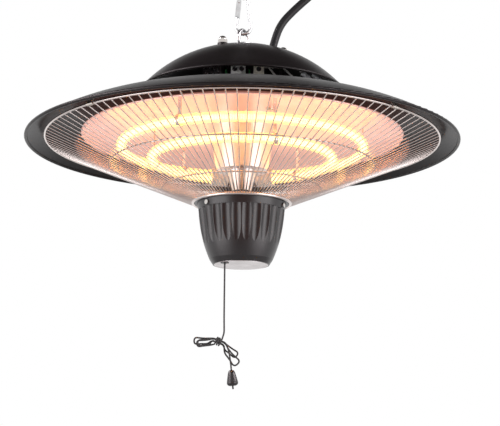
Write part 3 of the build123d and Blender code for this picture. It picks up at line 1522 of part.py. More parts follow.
# Switch body on the cup's foot
drum_x = pull_x + drum_radius
drum_front = pull_y - drum_thickness / 2
switch_depth = switch_back - switch_front
drum_plane = Plane(origin=place((drum_x, drum_front, drum_height)), x_dir=(1, 0, 0), z_dir=(0, 1, 0))
with BuildPart() as switch_body:
    with BuildSketch(level(drum_height - switch_below)):
        with Locations((switch_foot_x, (switch_front + switch_back) / 2)):
            Rectangle(2 * switch_half_width, switch_depth)
    extrude(amount=switch_below + switch_above)
    fillet(switch_body.edges().filter_by(Axis.Z), switch_edge)
    with BuildSketch(drum_plane):
        Circle(axle_radius + running_gap)
    extrude(amount=switch_front - drum_front + axle_depth + slack_gap, mode=Mode.SUBTRACT)
switch_body.part.label = "switch_body"
export_step(switch_body.part, "parts/switch_body.step")

# Pulley that the pull cord turns, with a groove for the cord
with BuildPart() as switch_pulley:
    with BuildSketch(drum_plane):
        Circle(pulley_rim_radius)
    extrude(amount=drum_thickness)
    with BuildSketch(drum_plane.offset((drum_thickness - pulley_groove_width) / 2)):
        Circle(pulley_rim_radius)
        Circle(pulley_groove_radius, mode=Mode.SUBTRACT)
    extrude(amount=pulley_groove_width, mode=Mode.SUBTRACT)
    with BuildSketch(drum_plane):
        Circle(axle_radius + fit_gap)
        with PolarLocations((axle_radius + pulley_groove_radius) / 2, pulley_hole_count):
            Circle(pulley_hole_radius)
    extrude(amount=drum_thickness, mode=Mode.SUBTRACT)
switch_pulley.part.label = "switch_pulley"
export_step(switch_pulley.part, "parts/switch_pulley.step")

with BuildPart() as switch_axle:
    with BuildSketch(drum_plane.offset(-axle_front_overhang)):
        Circle(axle_radius)
    extrude(amount=axle_front_overhang + switch_front - drum_front + axle_depth)
switch_axle.part.label = "switch_axle"
export_step(switch_axle.part, "parts/switch_axle.step")

# Pull cord, from the pulley down to the knot
pull_points = [place(point) for point in pull_route]
with BuildPart() as pull_cord:
    with BuildLine() as pull_line:
        FilletPolyline(*pull_points, radius=corner_radii(pull_points))
    with BuildSketch(Plane(origin=pull_line.line @ 0, z_dir=pull_line.line % 0)):
        Circle(pull_cord_radius)
    sweep(path=pull_line.line)
pull_cord.part.label = "pull_cord"
export_step(pull_cord.part, "parts/pull_cord.step")
print("pull cord radii", [round(radius, 1) for radius in corner_radii(pull_points)])
report_tube("pull_cord", pull_line.line, pull_cord.part, pull_cord_radius)

# Tail of the pull cord, down to the toggle and through it
tail_points = [place(point) for point in tail_route]
toggle_down = Vector(sin(radians(toggle_tilt)), 0, -cos(radians(toggle_tilt)))
toggle_top = tail_points[-1]
tail_points.append(toggle_top + toggle_down * (toggle_length + stub_length))
with BuildPart() as pull_cord_tail:
    with BuildLine() as tail_line:
        FilletPolyline(*tail_points, radius=corner_radii(tail_points))
    with BuildSketch(Plane(origin=tail_line.line @ 0, z_dir=tail_line.line % 0)):
        Circle(pull_cord_radius)
    sweep(path=tail_line.line)
pull_cord_tail.part.label = "pull_cord_tail"
export_step(pull_cord_tail.part, "parts/pull_cord_tail.step")
print("tail radii", [round(radius, 1) for radius in corner_radii(tail_points)])
report_tube("pull_cord_tail", tail_line.line, pull_cord_tail.part, pull_cord_radius)

# Hank: the cord winds round the waist of its own loops, then runs through them to the tail
knot = place((knot_x, knot_y, knot_height))
bundle_onward = Vector(cos(radians(bundle_angle)), 0, sin(radians(bundle_angle)))
bundle_up = Vector(-sin(radians(bundle_angle)), 0, cos(radians(bundle_angle)))
depthward = Vector(0, 1, 0)
wrap_radius = waist_half_gap + 2 * pull_cord_radius + wrap_clearance
wrap_around = 4 * lane_pitch + 2 * pi * wrap_radius
wrap_slope = wrap_pitch / wrap_around
quarter = pi * wrap_radius / 2
wrap_stops = [
    (-lane_pitch - wrap_radius, 0, 0, -1, 0),
    (-lane_pitch, -wrap_radius, 1, 0, quarter),
    (lane_pitch, -wrap_radius, 1, 0, quarter + 2 * lane_pitch),
    (lane_pitch + wrap_radius, 0, 0, 1, 2 * quarter + 2 * lane_pitch),
    (lane_pitch, wrap_radius, -1, 0, 3 * quarter + 2 * lane_pitch),
    (-lane_pitch, wrap_radius, -1, 0, 3 * quarter + 4 * lane_pitch),
]
wrap_half = wrap_turns * wrap_pitch / 2
hank_route = []
for turn in range(ceil(wrap_turns)):
    for depth, rise, depth_way, rise_way, passed in wrap_stops:
        travelled = turn * wrap_around + passed
        if travelled > wrap_turns * wrap_around:
            continue
        across = wrap_half - travelled * wrap_slope
        point = knot + bundle_onward * across + depthward * depth + bundle_up * rise
        heading = depthward * depth_way + bundle_up * rise_way - bundle_onward * wrap_slope
        hank_route.append((point, heading.normalized()))
pull_end = pull_points[-1]
pull_end_heading = (pull_points[-1] - pull_points[-2]).normalized()
hank_route[0] = (pull_end + pull_end_heading * (2 * pull_cord_radius), pull_end_heading)
hank_route.insert(0, (pull_end, pull_end_heading))


def waist_stations(lane, upper):
    """A strand's two ends in the waist: the upper strands run right, the lower ones left."""
    sense = 1 if upper else -1
    middle = knot + depthward * (lane_pitch - lane * lane_pitch) + bundle_up * waist_half_gap * sense
    onward = bundle_onward * sense
    return [(middle - onward * waist_half_length, onward), (middle + onward * waist_half_length, onward)]


def loop_stations(length, angle, lane, sense):
    """A loop's outgoing belly, tip and returning belly. A loop turned clockwise has a sense of -1."""
    along = Vector(cos(radians(angle)), 0, sin(radians(angle)))
    turned = Vector(-sin(radians(angle)), 0, cos(radians(angle))) * sense
    base = knot + depthward * (lane_pitch - lane * lane_pitch)
    return [
        (base + along * length * belly_share - turned * loop_half_width, along),
        (base + along * length, turned),
        (base + along * length * belly_share + turned * loop_half_width, -along),
    ]


for lane, (length, angle) in enumerate(left_loops):
    hank_route += loop_stations(length, angle, lane, -1)
    hank_route += waist_stations(lane, True)
    if lane < len(right_loops):
        hank_route += loop_stations(*right_loops[lane], lane, -1)
        hank_route += waist_stations(lane, False)
tail_heading = (tail_points[1] - tail_points[0]).normalized()
hank_route.append((tail_points[0] - tail_heading * (2 * pull_cord_radius), tail_heading))
hank_route.append((tail_points[0], tail_heading))
with BuildPart() as pull_cord_hank:
    with BuildLine() as hank_line:
        add_route(hank_route)
    with BuildSketch(Plane(origin=hank_line.line @ 0, z_dir=hank_line.line % 0)):
        Circle(pull_cord_radius)
    sweep(path=hank_line.line)
pull_cord_hank.part.label = "pull_cord_hank"
export_step(pull_cord_hank.part, "parts/pull_cord_hank.step")
report_tube("pull_cord_hank", hank_line.line, pull_cord_hank.part, pull_cord_radius)

# Toggle on the pull cord's end
toggle_side = Plane(origin=toggle_top, x_dir=toggle_down.cross(depthward), z_dir=depthward)
with BuildPart() as toggle:
    with BuildSketch(toggle_side):
        with BuildLine():
            Polyline(
                (0, 0),
                (toggle_top_radius, 0),
                (toggle_shoulder_radius, toggle_length * toggle_shoulder_share),
                (toggle_belly_radius, toggle_length * toggle_belly_share),
                (toggle_lip_radius, toggle_length * toggle_lip_share),
                (toggle_bottom_radius, toggle_length),
                (0, toggle_length),
                (0, 0),
            )
        make_face()
    revolve(axis=Axis(toggle_top, toggle_down))
    with BuildSketch(Plane(origin=toggle_top, z_dir=toggle_down)):
        Circle(pull_cord_radius + fit_gap)
    extrude(amount=toggle_length, mode=Mode.SUBTRACT)
toggle.part.label = "toggle"
export_step(toggle.part, "parts/toggle.step")
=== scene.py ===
"""Dresses the hanging patio heater: finishes, filaments, both cords, light and camera."""

import logging
from dataclasses import dataclass, field
from enum import Enum
from math import ceil, cos, pi, radians, sin, sqrt

import bmesh
import bpy
from mathutils import Matrix, Vector

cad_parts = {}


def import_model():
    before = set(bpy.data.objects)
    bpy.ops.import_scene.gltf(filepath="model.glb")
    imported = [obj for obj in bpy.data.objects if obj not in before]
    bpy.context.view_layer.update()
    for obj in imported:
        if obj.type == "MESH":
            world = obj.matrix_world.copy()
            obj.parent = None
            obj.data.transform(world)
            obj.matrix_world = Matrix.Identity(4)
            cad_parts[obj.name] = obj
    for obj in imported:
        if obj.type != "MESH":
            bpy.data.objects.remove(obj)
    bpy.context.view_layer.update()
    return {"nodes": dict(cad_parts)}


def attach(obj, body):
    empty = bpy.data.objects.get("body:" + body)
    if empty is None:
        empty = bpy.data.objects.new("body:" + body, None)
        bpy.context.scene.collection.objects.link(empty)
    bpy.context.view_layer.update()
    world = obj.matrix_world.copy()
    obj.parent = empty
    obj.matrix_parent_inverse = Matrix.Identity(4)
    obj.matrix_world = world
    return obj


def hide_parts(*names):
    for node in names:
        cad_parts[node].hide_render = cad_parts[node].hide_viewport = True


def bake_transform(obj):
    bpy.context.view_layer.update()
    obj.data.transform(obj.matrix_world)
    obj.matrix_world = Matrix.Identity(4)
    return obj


LOG = logging.getLogger("heater")

Point = tuple[float, float, float]
Colour = tuple[float, float, float]
Span = tuple[float, float]
Station = tuple[Vector, Vector]

MM = 0.001
RIM_Z = -0.337
PHOTO_WIDTH = 500
PHOTO_HEIGHT = 426

NOISE_DETAIL = 4.0
NOISE_LOW = 0.3
NOISE_HIGH = 0.7
LINE_RESOLUTION = 12
LINE_ORDER = 3
WHITE = (1.0, 1.0, 1.0, 1.0)


class Body(Enum):
    """The bodies that the finer pieces ride on."""

    CHAIN = "chain"
    HEATER = "heater"
    PULL = "pull_cord"


class Metal(Enum):
    """Whether a finish conducts."""

    YES = 1.0
    NO = 0.0


class Coordinates(Enum):
    """What a pattern is laid on: the object's own space, or the map along a cord."""

    SPACE = "Object"
    SURFACE = "UV"


def place(x: float, y: float, height: float) -> Vector:
    """A point in metres from millimetres, with its height over the hood's rim."""
    return Vector((x * MM, y * MM, RIM_Z + height * MM))


def toward(azimuth: float) -> Vector:
    """A level direction in the plane of the coil and the hank, turned up from +X by degrees."""
    return Vector((cos(radians(azimuth)), 0.0, sin(radians(azimuth))))


def fill(node: bpy.types.Node, values: dict[str, object]) -> None:
    """Set a node's inputs by their names."""
    for name, value in values.items():
        node.inputs[name].default_value = value


class Wiring:
    """A short way to add and join the nodes of a tree."""

    def __init__(self, tree: bpy.types.NodeTree) -> None:
        """Start on a tree."""
        self.tree = tree

    def add(self, kind: str, **settings: object) -> bpy.types.Node:
        """Add a node and set its properties.

        Args:
            kind: The node's type.
            **settings: Its properties.

        Returns:
            The new node.
        """
        node = self.tree.nodes.new(kind)
        for key, value in settings.items():
            setattr(node, key, value)
        return node

    def link(self, source: bpy.types.NodeSocket, target: bpy.types.NodeSocket) -> None:
        """Join two sockets."""
        self.tree.links.new(source, target)


class NodeSheet(Wiring):
    """A material's nodes, with its shader and its coordinates."""

    def __init__(self, name: str) -> None:
        """Start a new material.

        Args:
            name: The material's name.
        """
        self.material = bpy.data.materials.new(name)
        self.material.use_nodes = True
        super().__init__(self.material.node_tree)
        self.shader = self.tree.nodes["Principled BSDF"]
        self.coords = self.add("ShaderNodeTexCoord")

    def mapped(self, coordinates: Coordinates, scale: Point) -> bpy.types.NodeSocket:
        """Coordinates, scaled.

        Args:
            coordinates: What the pattern is laid on.
            scale: The pattern's repeats along each axis.

        Returns:
            The mapped vector.
        """
        mapping = self.add("ShaderNodeMapping")
        mapping.inputs["Scale"].default_value = scale
        self.link(self.coords.outputs[coordinates.value], mapping.inputs["Vector"])
        return mapping.outputs["Vector"]

    def noise(self, scale: Point) -> bpy.types.NodeSocket:
        """A noise pattern on object coordinates.

        Args:
            scale: The pattern's repeats per metre along each axis.

        Returns:
            Its grey value, mostly between NOISE_LOW and NOISE_HIGH.
        """
        node = self.add("ShaderNodeTexNoise")
        fill(node, {"Scale": 1.0, "Detail": NOISE_DETAIL})
        self.link(self.mapped(Coordinates.SPACE, scale), node.inputs["Vector"])
        return node.outputs["Fac"]

    def ramp(
        self, factor: bpy.types.NodeSocket, stops: list[tuple[float, Colour]]
    ) -> bpy.types.NodeSocket:
        """A colour ramp.

        Args:
            factor: The value that picks the colour.
            stops: Two places and their colours.

        Returns:
            The colour.
        """
        node = self.add("ShaderNodeValToRGB")
        for element, (position, colour) in zip(node.color_ramp.elements, stops):
            element.position = position
            element.color = (*colour, 1.0)
        self.link(factor, node.inputs["Fac"])
        return node.outputs["Color"]

    def spread(self, noise: bpy.types.NodeSocket, low: float, high: float) -> bpy.types.NodeSocket:
        """A noise value spread over a range.

        Args:
            noise: The noise's grey value.
            low: The range's low end.
            high: Its high end.

        Returns:
            The new value.
        """
        node = self.add("ShaderNodeMapRange")
        ends = {"From Min": NOISE_LOW, "From Max": NOISE_HIGH, "To Min": low, "To Max": high}
        fill(node, ends)
        self.link(noise, node.inputs["Value"])
        return node.outputs["Result"]

    def bump(self, height: bpy.types.NodeSocket, depth: float) -> None:
        """Set the surface's bump.

        Args:
            height: The pattern.
            depth: Its height in metres.
        """
        node = self.add("ShaderNodeBump")
        fill(node, {"Distance": depth, "Strength": 1.0})
        self.link(height, node.inputs["Height"])
        self.link(node.outputs["Normal"], self.shader.inputs["Normal"])


@dataclass(frozen=True)
class Finish:
    """A painted, moulded, plated or sheathed surface: two near colours, a roughness and a relief.

    The grain and the cloud are repeats per metre, and the relief is in metres.
    """

    name: str
    dark: Colour
    light: Colour
    rough: Span
    metal: Metal = Metal.NO
    grain: Point = (900.0, 900.0, 900.0)
    relief: float = 0.00002
    cloud: float = 25.0
    coat: float = 0.0
    coat_rough: float = 0.1
    specular: float = 0.5

    def build(self) -> bpy.types.Material:
        """The finish's material.

        Returns:
            A material on object coordinates.
        """
        sheet = NodeSheet(self.name)
        cloud = sheet.noise((self.cloud,) * 3)
        colour = sheet.ramp(cloud, [(NOISE_LOW, self.dark), (NOISE_HIGH, self.light)])
        sheet.link(colour, sheet.shader.inputs["Base Color"])
        grain = sheet.noise(self.grain)
        sheet.link(sheet.spread(grain, *self.rough), sheet.shader.inputs["Roughness"])
        sheet.bump(grain, self.relief)
        values = {
            "Metallic": self.metal.value,
            "Coat Weight": self.coat,
            "Coat Roughness": self.coat_rough,
            "Specular IOR Level": self.specular,
        }
        fill(sheet.shader, values)
        return sheet.material


@dataclass(frozen=True)
class Glow(Finish):
    """A surface that also gives light."""

    glow: Colour = (1.0, 0.5, 0.1)
    strength: float = 1.0

    def build(self) -> bpy.types.Material:
        """The finish's material with its glow.

        Returns:
            A material on object coordinates.
        """
        material = super().build()
        shader = material.node_tree.nodes["Principled BSDF"]
        fill(shader, {"Emission Color": (*self.glow, 1.0), "Emission Strength": self.strength})
        return material


@dataclass(frozen=True)
class Brushed(Finish):
    """A turned metal, brushed round its axis, so its highlights run along the axis."""

    stretch: float = 0.9
    stretch_turn: float = 0.25

    def build(self) -> bpy.types.Material:
        """The finish's material with its brushing.

        Returns:
            A material on object coordinates.
        """
        material = super().build()
        wiring = Wiring(material.node_tree)
        tangent = wiring.add("ShaderNodeTangent", direction_type="RADIAL", axis="Z")
        shader = wiring.tree.nodes["Principled BSDF"]
        wiring.link(tangent.outputs["Tangent"], shader.inputs["Tangent"])
        fill(shader, {"Anisotropic": self.stretch, "Anisotropic Rotation": self.stretch_turn})
        return material


@dataclass(frozen=True)
class QuartzGlass:
    """Hot quartz: mostly clear, bright where the filament shines through it."""

    name: str
    tint: Colour
    glow: Colour
    strength: float
    alpha: float
    streaks: Point = (60.0, 60.0, 400.0)
    rough: Span = (0.04, 0.12)
    relief: float = 0.00002

    def build(self) -> bpy.types.Material:
        """The glass's material.

        Returns:
            A material on object coordinates.
        """
        sheet = NodeSheet(self.name)
        values = {
            "Base Color": (*self.tint, 1.0),
            "Alpha": self.alpha,
            "Emission Color": (*self.glow, 1.0),
            "Emission Strength": self.strength,
        }
        fill(sheet.shader, values)
        streak = sheet.noise(self.streaks)
        sheet.link(sheet.spread(streak, *self.rough), sheet.shader.inputs["Roughness"])
        sheet.bump(streak, self.relief)
        return sheet.material


@dataclass(frozen=True)
class BraidedCord:
    """A thin braided cord, with its braid laid along the piece's own length.

    The braid's repeats are per turn around and per metre along, and its relief is in metres.
    """

    name: str
    dark: Colour
    light: Colour
    around: float
    along: float
    valley: float = 0.2
    crest: float = 0.9
    waver: float = 0.4
    rough: float = 0.75
    sheen: float = 0.2
    relief: float = 0.00008

    def build(self) -> bpy.types.Material:
        """The cord's material on its UV map.

        Returns:
            The material.
        """
        sheet = NodeSheet(self.name)
        weave = sheet.add("ShaderNodeMath", operation="MAXIMUM")
        for strand, sense in enumerate((1.0, -1.0)):
            scale = (self.along, self.around * sense, 1.0)
            vector = sheet.mapped(Coordinates.SURFACE, scale)
            wave = sheet.add("ShaderNodeTexWave", wave_type="BANDS", bands_direction="DIAGONAL")
            fill(wave, {"Scale": 1.0, "Distortion": self.waver})
            sheet.link(vector, wave.inputs["Vector"])
            sheet.link(wave.outputs["Fac"], weave.inputs[strand])
        height = weave.outputs["Value"]
        colour = sheet.ramp(height, [(self.valley, self.dark), (self.crest, self.light)])
        sheet.link(colour, sheet.shader.inputs["Base Color"])
        fill(sheet.shader, {"Roughness": self.rough, "Sheen Weight": self.sheen})
        sheet.bump(height, self.relief)
        return sheet.material


ENAMEL = Finish(
    "black_enamel", (0.010, 0.0075, 0.008), (0.016, 0.012, 0.013), (0.3, 0.38),
    relief=0.000012, specular=0.2,
)
PLASTIC = Finish(
    "black_plastic", (0.010, 0.0075, 0.0085), (0.015, 0.0115, 0.0135), (0.28, 0.32),
    relief=0.000008, specular=0.55,
)
SHEATH = Finish(
    "rubber_sheath", (0.010, 0.010, 0.011), (0.018, 0.018, 0.020), (0.34, 0.46),
    relief=0.00004, specular=0.28,
)
MOULDED = Finish(
    "moulded_rubber", (0.014, 0.014, 0.015), (0.022, 0.022, 0.024), (0.42, 0.55), relief=0.00004
)
NYLON = Finish("nylon_tie", (0.02, 0.02, 0.021), (0.03, 0.03, 0.031), (0.4, 0.5))
ZINC = Finish(
    "zinc_plate", (0.56, 0.57, 0.58), (0.74, 0.75, 0.76), (0.16, 0.3), Metal.YES,
    grain=(600.0, 600.0, 600.0), relief=0.00001, cloud=90.0,
)
NICKEL = Finish(
    "nickel_plate", (0.5, 0.47, 0.45), (0.68, 0.65, 0.62), (0.1, 0.18), Metal.YES,
    grain=(500.0, 500.0, 500.0), relief=0.000006, cloud=90.0,
)
# Chrome guard wires: the pink tint of their colour is a painted reflection of the heater's warm
# glow.
WIRE_CHROME = Finish(
    "guard_chrome", (0.66, 0.58, 0.55), (0.78, 0.7, 0.67), (0.12, 0.2), Metal.YES,
    grain=(400.0, 400.0, 400.0), relief=0.000004, cloud=40.0,
)
# Turned chrome hub: the pink tint of its colour is a painted reflection of the heater's warm glow.
HUB_CHROME = Brushed(
    "hub_chrome", (0.88, 0.81, 0.79), (0.95, 0.9, 0.88), (0.34, 0.38), Metal.YES,
    grain=(60.0, 60.0, 900.0), relief=0.000003, cloud=30.0,
)
DISC_STEEL = Finish(
    "disc_steel", (0.5, 0.46, 0.46), (0.72, 0.68, 0.68), (0.26, 0.36), Metal.YES,
    grain=(200.0, 1500.0, 200.0), relief=0.000008, cloud=60.0,
)
# Polished aluminium dish: its pink tint is a painted reflection of the glowing tubes, and its
# emission is painted glow from them, as the dish is no lamp.
DISH_PAINTED_GLOW = Glow(
    "dish_aluminium", (0.88, 0.6, 0.53), (0.96, 0.7, 0.63), (0.32, 0.4), Metal.YES,
    grain=(30.0, 30.0, 30.0), relief=0.00003, cloud=14.0, glow=(1.0, 0.4, 0.3), strength=0.26,
)
CHASSIS = Finish(
    "chassis_steel", (0.05, 0.045, 0.045), (0.09, 0.08, 0.08), (0.35, 0.5), Metal.YES,
    grain=(80.0, 80.0, 80.0), relief=0.00001, cloud=12.0,
)
SPRING = Finish("spring_steel", (0.6, 0.55, 0.5), (0.78, 0.72, 0.66), (0.2, 0.32), Metal.YES)
CERAMIC = Finish(
    "white_ceramic", (0.62, 0.6, 0.57), (0.86, 0.84, 0.8), (0.45, 0.6),
    relief=0.00005, cloud=160.0,
)
MOTTLED = Finish(
    "mottled_ceramic", (0.3, 0.31, 0.29), (0.86, 0.87, 0.84), (0.4, 0.6),
    relief=0.00006, cloud=190.0,
)
BEIGE = Finish(
    "beige_moulding", (0.5, 0.48, 0.4), (0.66, 0.63, 0.54), (0.4, 0.5),
    relief=0.00003, cloud=120.0,
)
BRASS = Finish("pin_brass", (0.72, 0.55, 0.26), (0.84, 0.68, 0.36), (0.15, 0.28), Metal.YES)
CORE = Finish("core_insulation", (0.12, 0.06, 0.04), (0.2, 0.11, 0.07), (0.4, 0.5))
EARTH = Finish("earth_insulation", (0.03, 0.2, 0.06), (0.06, 0.32, 0.1), (0.4, 0.5), cloud=140.0)
GLASS_FIBRE = Finish(
    "fibre_insulation", (0.36, 0.35, 0.33), (0.58, 0.57, 0.55), (0.7, 0.85), relief=0.0001
)
SLEEVE = Finish(
    "fibre_sleeve", (0.6, 0.62, 0.64), (0.85, 0.87, 0.9), (0.2, 0.4), relief=0.0001, coat=0.4
)
WHITE_ENAMEL = Finish("white_enamel", (0.74, 0.74, 0.72), (0.82, 0.82, 0.8), (0.3, 0.4), coat=0.3)
FILAMENT = Glow(
    "hot_filament", (0.9, 0.5, 0.1), (1.0, 0.6, 0.2), (0.5, 0.6),
    glow=(1.0, 0.74, 0.4), strength=4.0,
)
QUARTZ = QuartzGlass("hot_quartz", (1.0, 0.88, 0.6), (1.0, 0.62, 0.12), strength=0.75, alpha=0.4)
BRAID = BraidedCord(
    "black_braid", (0.006, 0.006, 0.006), (0.03, 0.029, 0.03), around=1.0, along=700.0
)
FLOOR_PAINT = Finish(
    "pale_floor", (0.86, 0.86, 0.86), (0.88, 0.88, 0.88), (0.8, 0.9), relief=0.0, cloud=2.0
)

NODE_FINISHES = {
    ENAMEL: ["hood", "top_cap"],
    PLASTIC: ["cup", "cup_lid", "cord_bush", "switch_pulley", "switch_axle", "cord_gland"],
    SHEATH: ["power_cord_tail"],
    MOULDED: ["plug_body"],
    NYLON: ["cord_tie", "gland_nut"],
    ZINC: [
        "chain_links",
        "snap_hook",
        "snap_hook_gate",
        "gate_pin",
        "hanging_eye",
        "ceiling_eye",
        "studs",
        "stud_nuts",
        "rod_nuts",
        "centre_rod",
        "reflector_screws",
        "reflector_spacers",
        "terminal_screws",
        "eye_washer",
        "terminal_bracket",
    ],
    NICKEL: ["cap_nuts", "cup_screws"],
    WIRE_CHROME: ["guard_wires", "guard_rings"],
    HUB_CHROME: ["hub_cone", "centre_tube"],
    DISC_STEEL: ["cup_disc"],
    DISH_PAINTED_GLOW: ["reflector"],
    CHASSIS: ["chassis_plate", "cap_posts"],
    SPRING: ["tube_clips", "guard_clips"],
    CERAMIC: ["tube_caps"],
    MOTTLED: ["mains_block"],
    BEIGE: ["element_block", "switch_body"],
    BRASS: ["plug_pins"],
    CORE: ["block_leads"],
    EARTH: ["earth_leads"],
    GLASS_FIBRE: ["element_leads"],
    SLEEVE: ["lead_sleeves"],
    WHITE_ENAMEL: ["ceiling_plate"],
    QUARTZ: ["inner_tube", "outer_tube"],
}


def add_object(name: str, mesh: bpy.types.Mesh) -> bpy.types.Object:
    """A new object in the scene, at the origin.

    Args:
        name: Its name.
        mesh: Its mesh.

    Returns:
        The object.
    """
    piece = bpy.data.objects.new(name, mesh)
    bpy.context.scene.collection.objects.link(piece)
    return piece


def seat(piece: bpy.types.Object, body: Body, slot: str, *nodes: str) -> bpy.types.Object:
    """Let a piece ride on its body and stand for CAD nodes.

    Args:
        piece: The piece.
        body: The body that carries it.
        slot: Not used.
        *nodes: The nodes that it stands for.

    Returns:
        The piece.
    """
    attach(piece, body.value)
    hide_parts(*nodes)
    LOG.info("%s rides on %s and stands for %s", piece.name, body.value, ", ".join(nodes))
    return piece


def spline_points(points: list[Vector]) -> list[Vector]:
    """Points read along a smooth line through a route.

    Args:
        points: The route's control points.

    Returns:
        The line's points, from end to end.
    """
    curve = bpy.data.curves.new("route", "CURVE")
    curve.dimensions = "3D"
    curve.resolution_u = LINE_RESOLUTION
    spline = curve.splines.new("NURBS")
    spline.points.add(len(points) - 1)
    for item, point in zip(spline.points, points):
        item.co = (*point, 1.0)
    spline.order_u = LINE_ORDER
    spline.use_endpoint_u = True
    holder = bpy.data.objects.new("route", curve)
    bpy.context.scene.collection.objects.link(holder)
    bpy.context.view_layer.update()
    evaluated = holder.evaluated_get(bpy.context.evaluated_depsgraph_get())
    mesh = bpy.data.meshes.new_from_object(evaluated)
    line = [vertex.co.copy() for vertex in mesh.vertices]
    bpy.data.objects.remove(holder)
    bpy.data.meshes.remove(mesh)
    bpy.data.curves.remove(curve)
    return line


def line_length(line: list[Vector]) -> float:
    """A line's length in metres."""
    return sum((after - before).length for before, after in zip(line, line[1:]))


def add_ring(
    shell: bmesh.types.BMesh,
    centre: Vector,
    arms: tuple[Vector, Vector],
    radius: float,
    sides: int,
) -> list[bmesh.types.BMVert]:
    """Add a ring of vertices round a centre.

    Args:
        shell: The mesh that they go into.
        centre: The ring's centre.
        arms: Two unit directions, a quarter turn apart.
        radius: The ring's radius.
        sides: Its facets.

    Returns:
        The vertices in order.
    """
    across, other = arms
    ring = []
    for side in range(sides):
        angle = 2 * pi * side / sides
        ring.append(shell.verts.new(centre + (across * cos(angle) + other * sin(angle)) * radius))
    return ring


def finished_mesh(name: str, shell: bmesh.types.BMesh) -> bpy.types.Mesh:
    """Turn a closed shell's faces outwards and make it a plain mesh.

    Args:
        name: The mesh's name.
        shell: The shell, which is freed.

    Returns:
        The mesh.
    """
    bmesh.ops.recalc_face_normals(shell, faces=shell.faces[:])
    mesh = bpy.data.meshes.new(name)
    shell.to_mesh(mesh)
    shell.free()
    return mesh


def tube_mesh(name: str, line: list[Vector], radius: float, sides: int) -> bpy.types.Mesh:
    """A closed round tube along a line, with a UV map in metres along it.

    Args:
        name: The mesh's name.
        line: The points that it follows.
        radius: Its radius.
        sides: Its facets.

    Returns:
        The mesh.
    """
    shell = bmesh.new()
    uv = shell.loops.layers.uv.new("UVMap")
    across = (line[1] - line[0]).orthogonal().normalized()
    rings, travelled = [], [0.0]
    for index, point in enumerate(line):
        before = line[max(index - 1, 0)]
        after = line[min(index + 1, len(line) - 1)]
        heading = (after - before).normalized()
        across = (across - heading * across.dot(heading)).normalized()
        rings.append(add_ring(shell, point, (across, heading.cross(across)), radius, sides))
        if index:
            travelled.append(travelled[-1] + (point - before).length)
    for index, (ring, following) in enumerate(zip(rings, rings[1:])):
        near, far = travelled[index], travelled[index + 1]
        for side in range(sides):
            after = (side + 1) % sides
            face = shell.faces.new((ring[side], ring[after], following[after], following[side]))
            face.smooth = True
            places = ((near, side), (near, side + 1), (far, side + 1), (far, side))
            for loop, (length, turn) in zip(face.loops, places):
                loop[uv].uv = (length, turn / sides)
    shell.faces.new(list(reversed(rings[0])))
    shell.faces.new(rings[-1])
    return finished_mesh(name, shell)


def lathe_mesh(
    name: str, profile: list[Span], origin: Vector, axis: Vector, sides: int
) -> bpy.types.Mesh:
    """A closed turned mesh.

    Args:
        name: The mesh's name.
        profile: Radius and place along the axis, from one pole to the other.
        origin: The axis's start.
        axis: Its direction.
        sides: Its facets.

    Returns:
        The mesh.
    """
    shell = bmesh.new()
    across = axis.orthogonal().normalized()
    arms = (across, axis.cross(across))
    first, last = [shell.verts.new(origin + axis * profile[end][1]) for end in (0, -1)]
    rings = []
    for radius, along in profile[1:-1]:
        rings.append(add_ring(shell, origin + axis * along, arms, radius, sides))
    for side in range(sides):
        after = (side + 1) % sides
        shell.faces.new((first, rings[0][after], rings[0][side]))
        shell.faces.new((last, rings[-1][side], rings[-1][after]))
        for ring, following in zip(rings, rings[1:]):
            shell.faces.new((ring[side], ring[after], following[after], following[side]))
    for face in shell.faces:
        face.smooth = True
    return finished_mesh(name, shell)


def biarc_handles(start: Vector, heading: Vector, end: Vector, end_heading: Vector) -> list[Vector]:
    """The two control points of a smooth bend between two stations.

    Args:
        start: The first station.
        heading: The way the cord leaves it.
        end: The second station.
        end_heading: The way the cord arrives there.

    Returns:
        The points ahead of the first and behind the second.
    """
    chord = end - start
    spread = 1 - heading.dot(end_heading)
    along = chord.dot(heading + end_heading)
    reach = chord.dot(chord) / (along + sqrt(along**2 + 2 * spread * chord.dot(chord)))
    return [start + heading * reach, end - end_heading * reach]


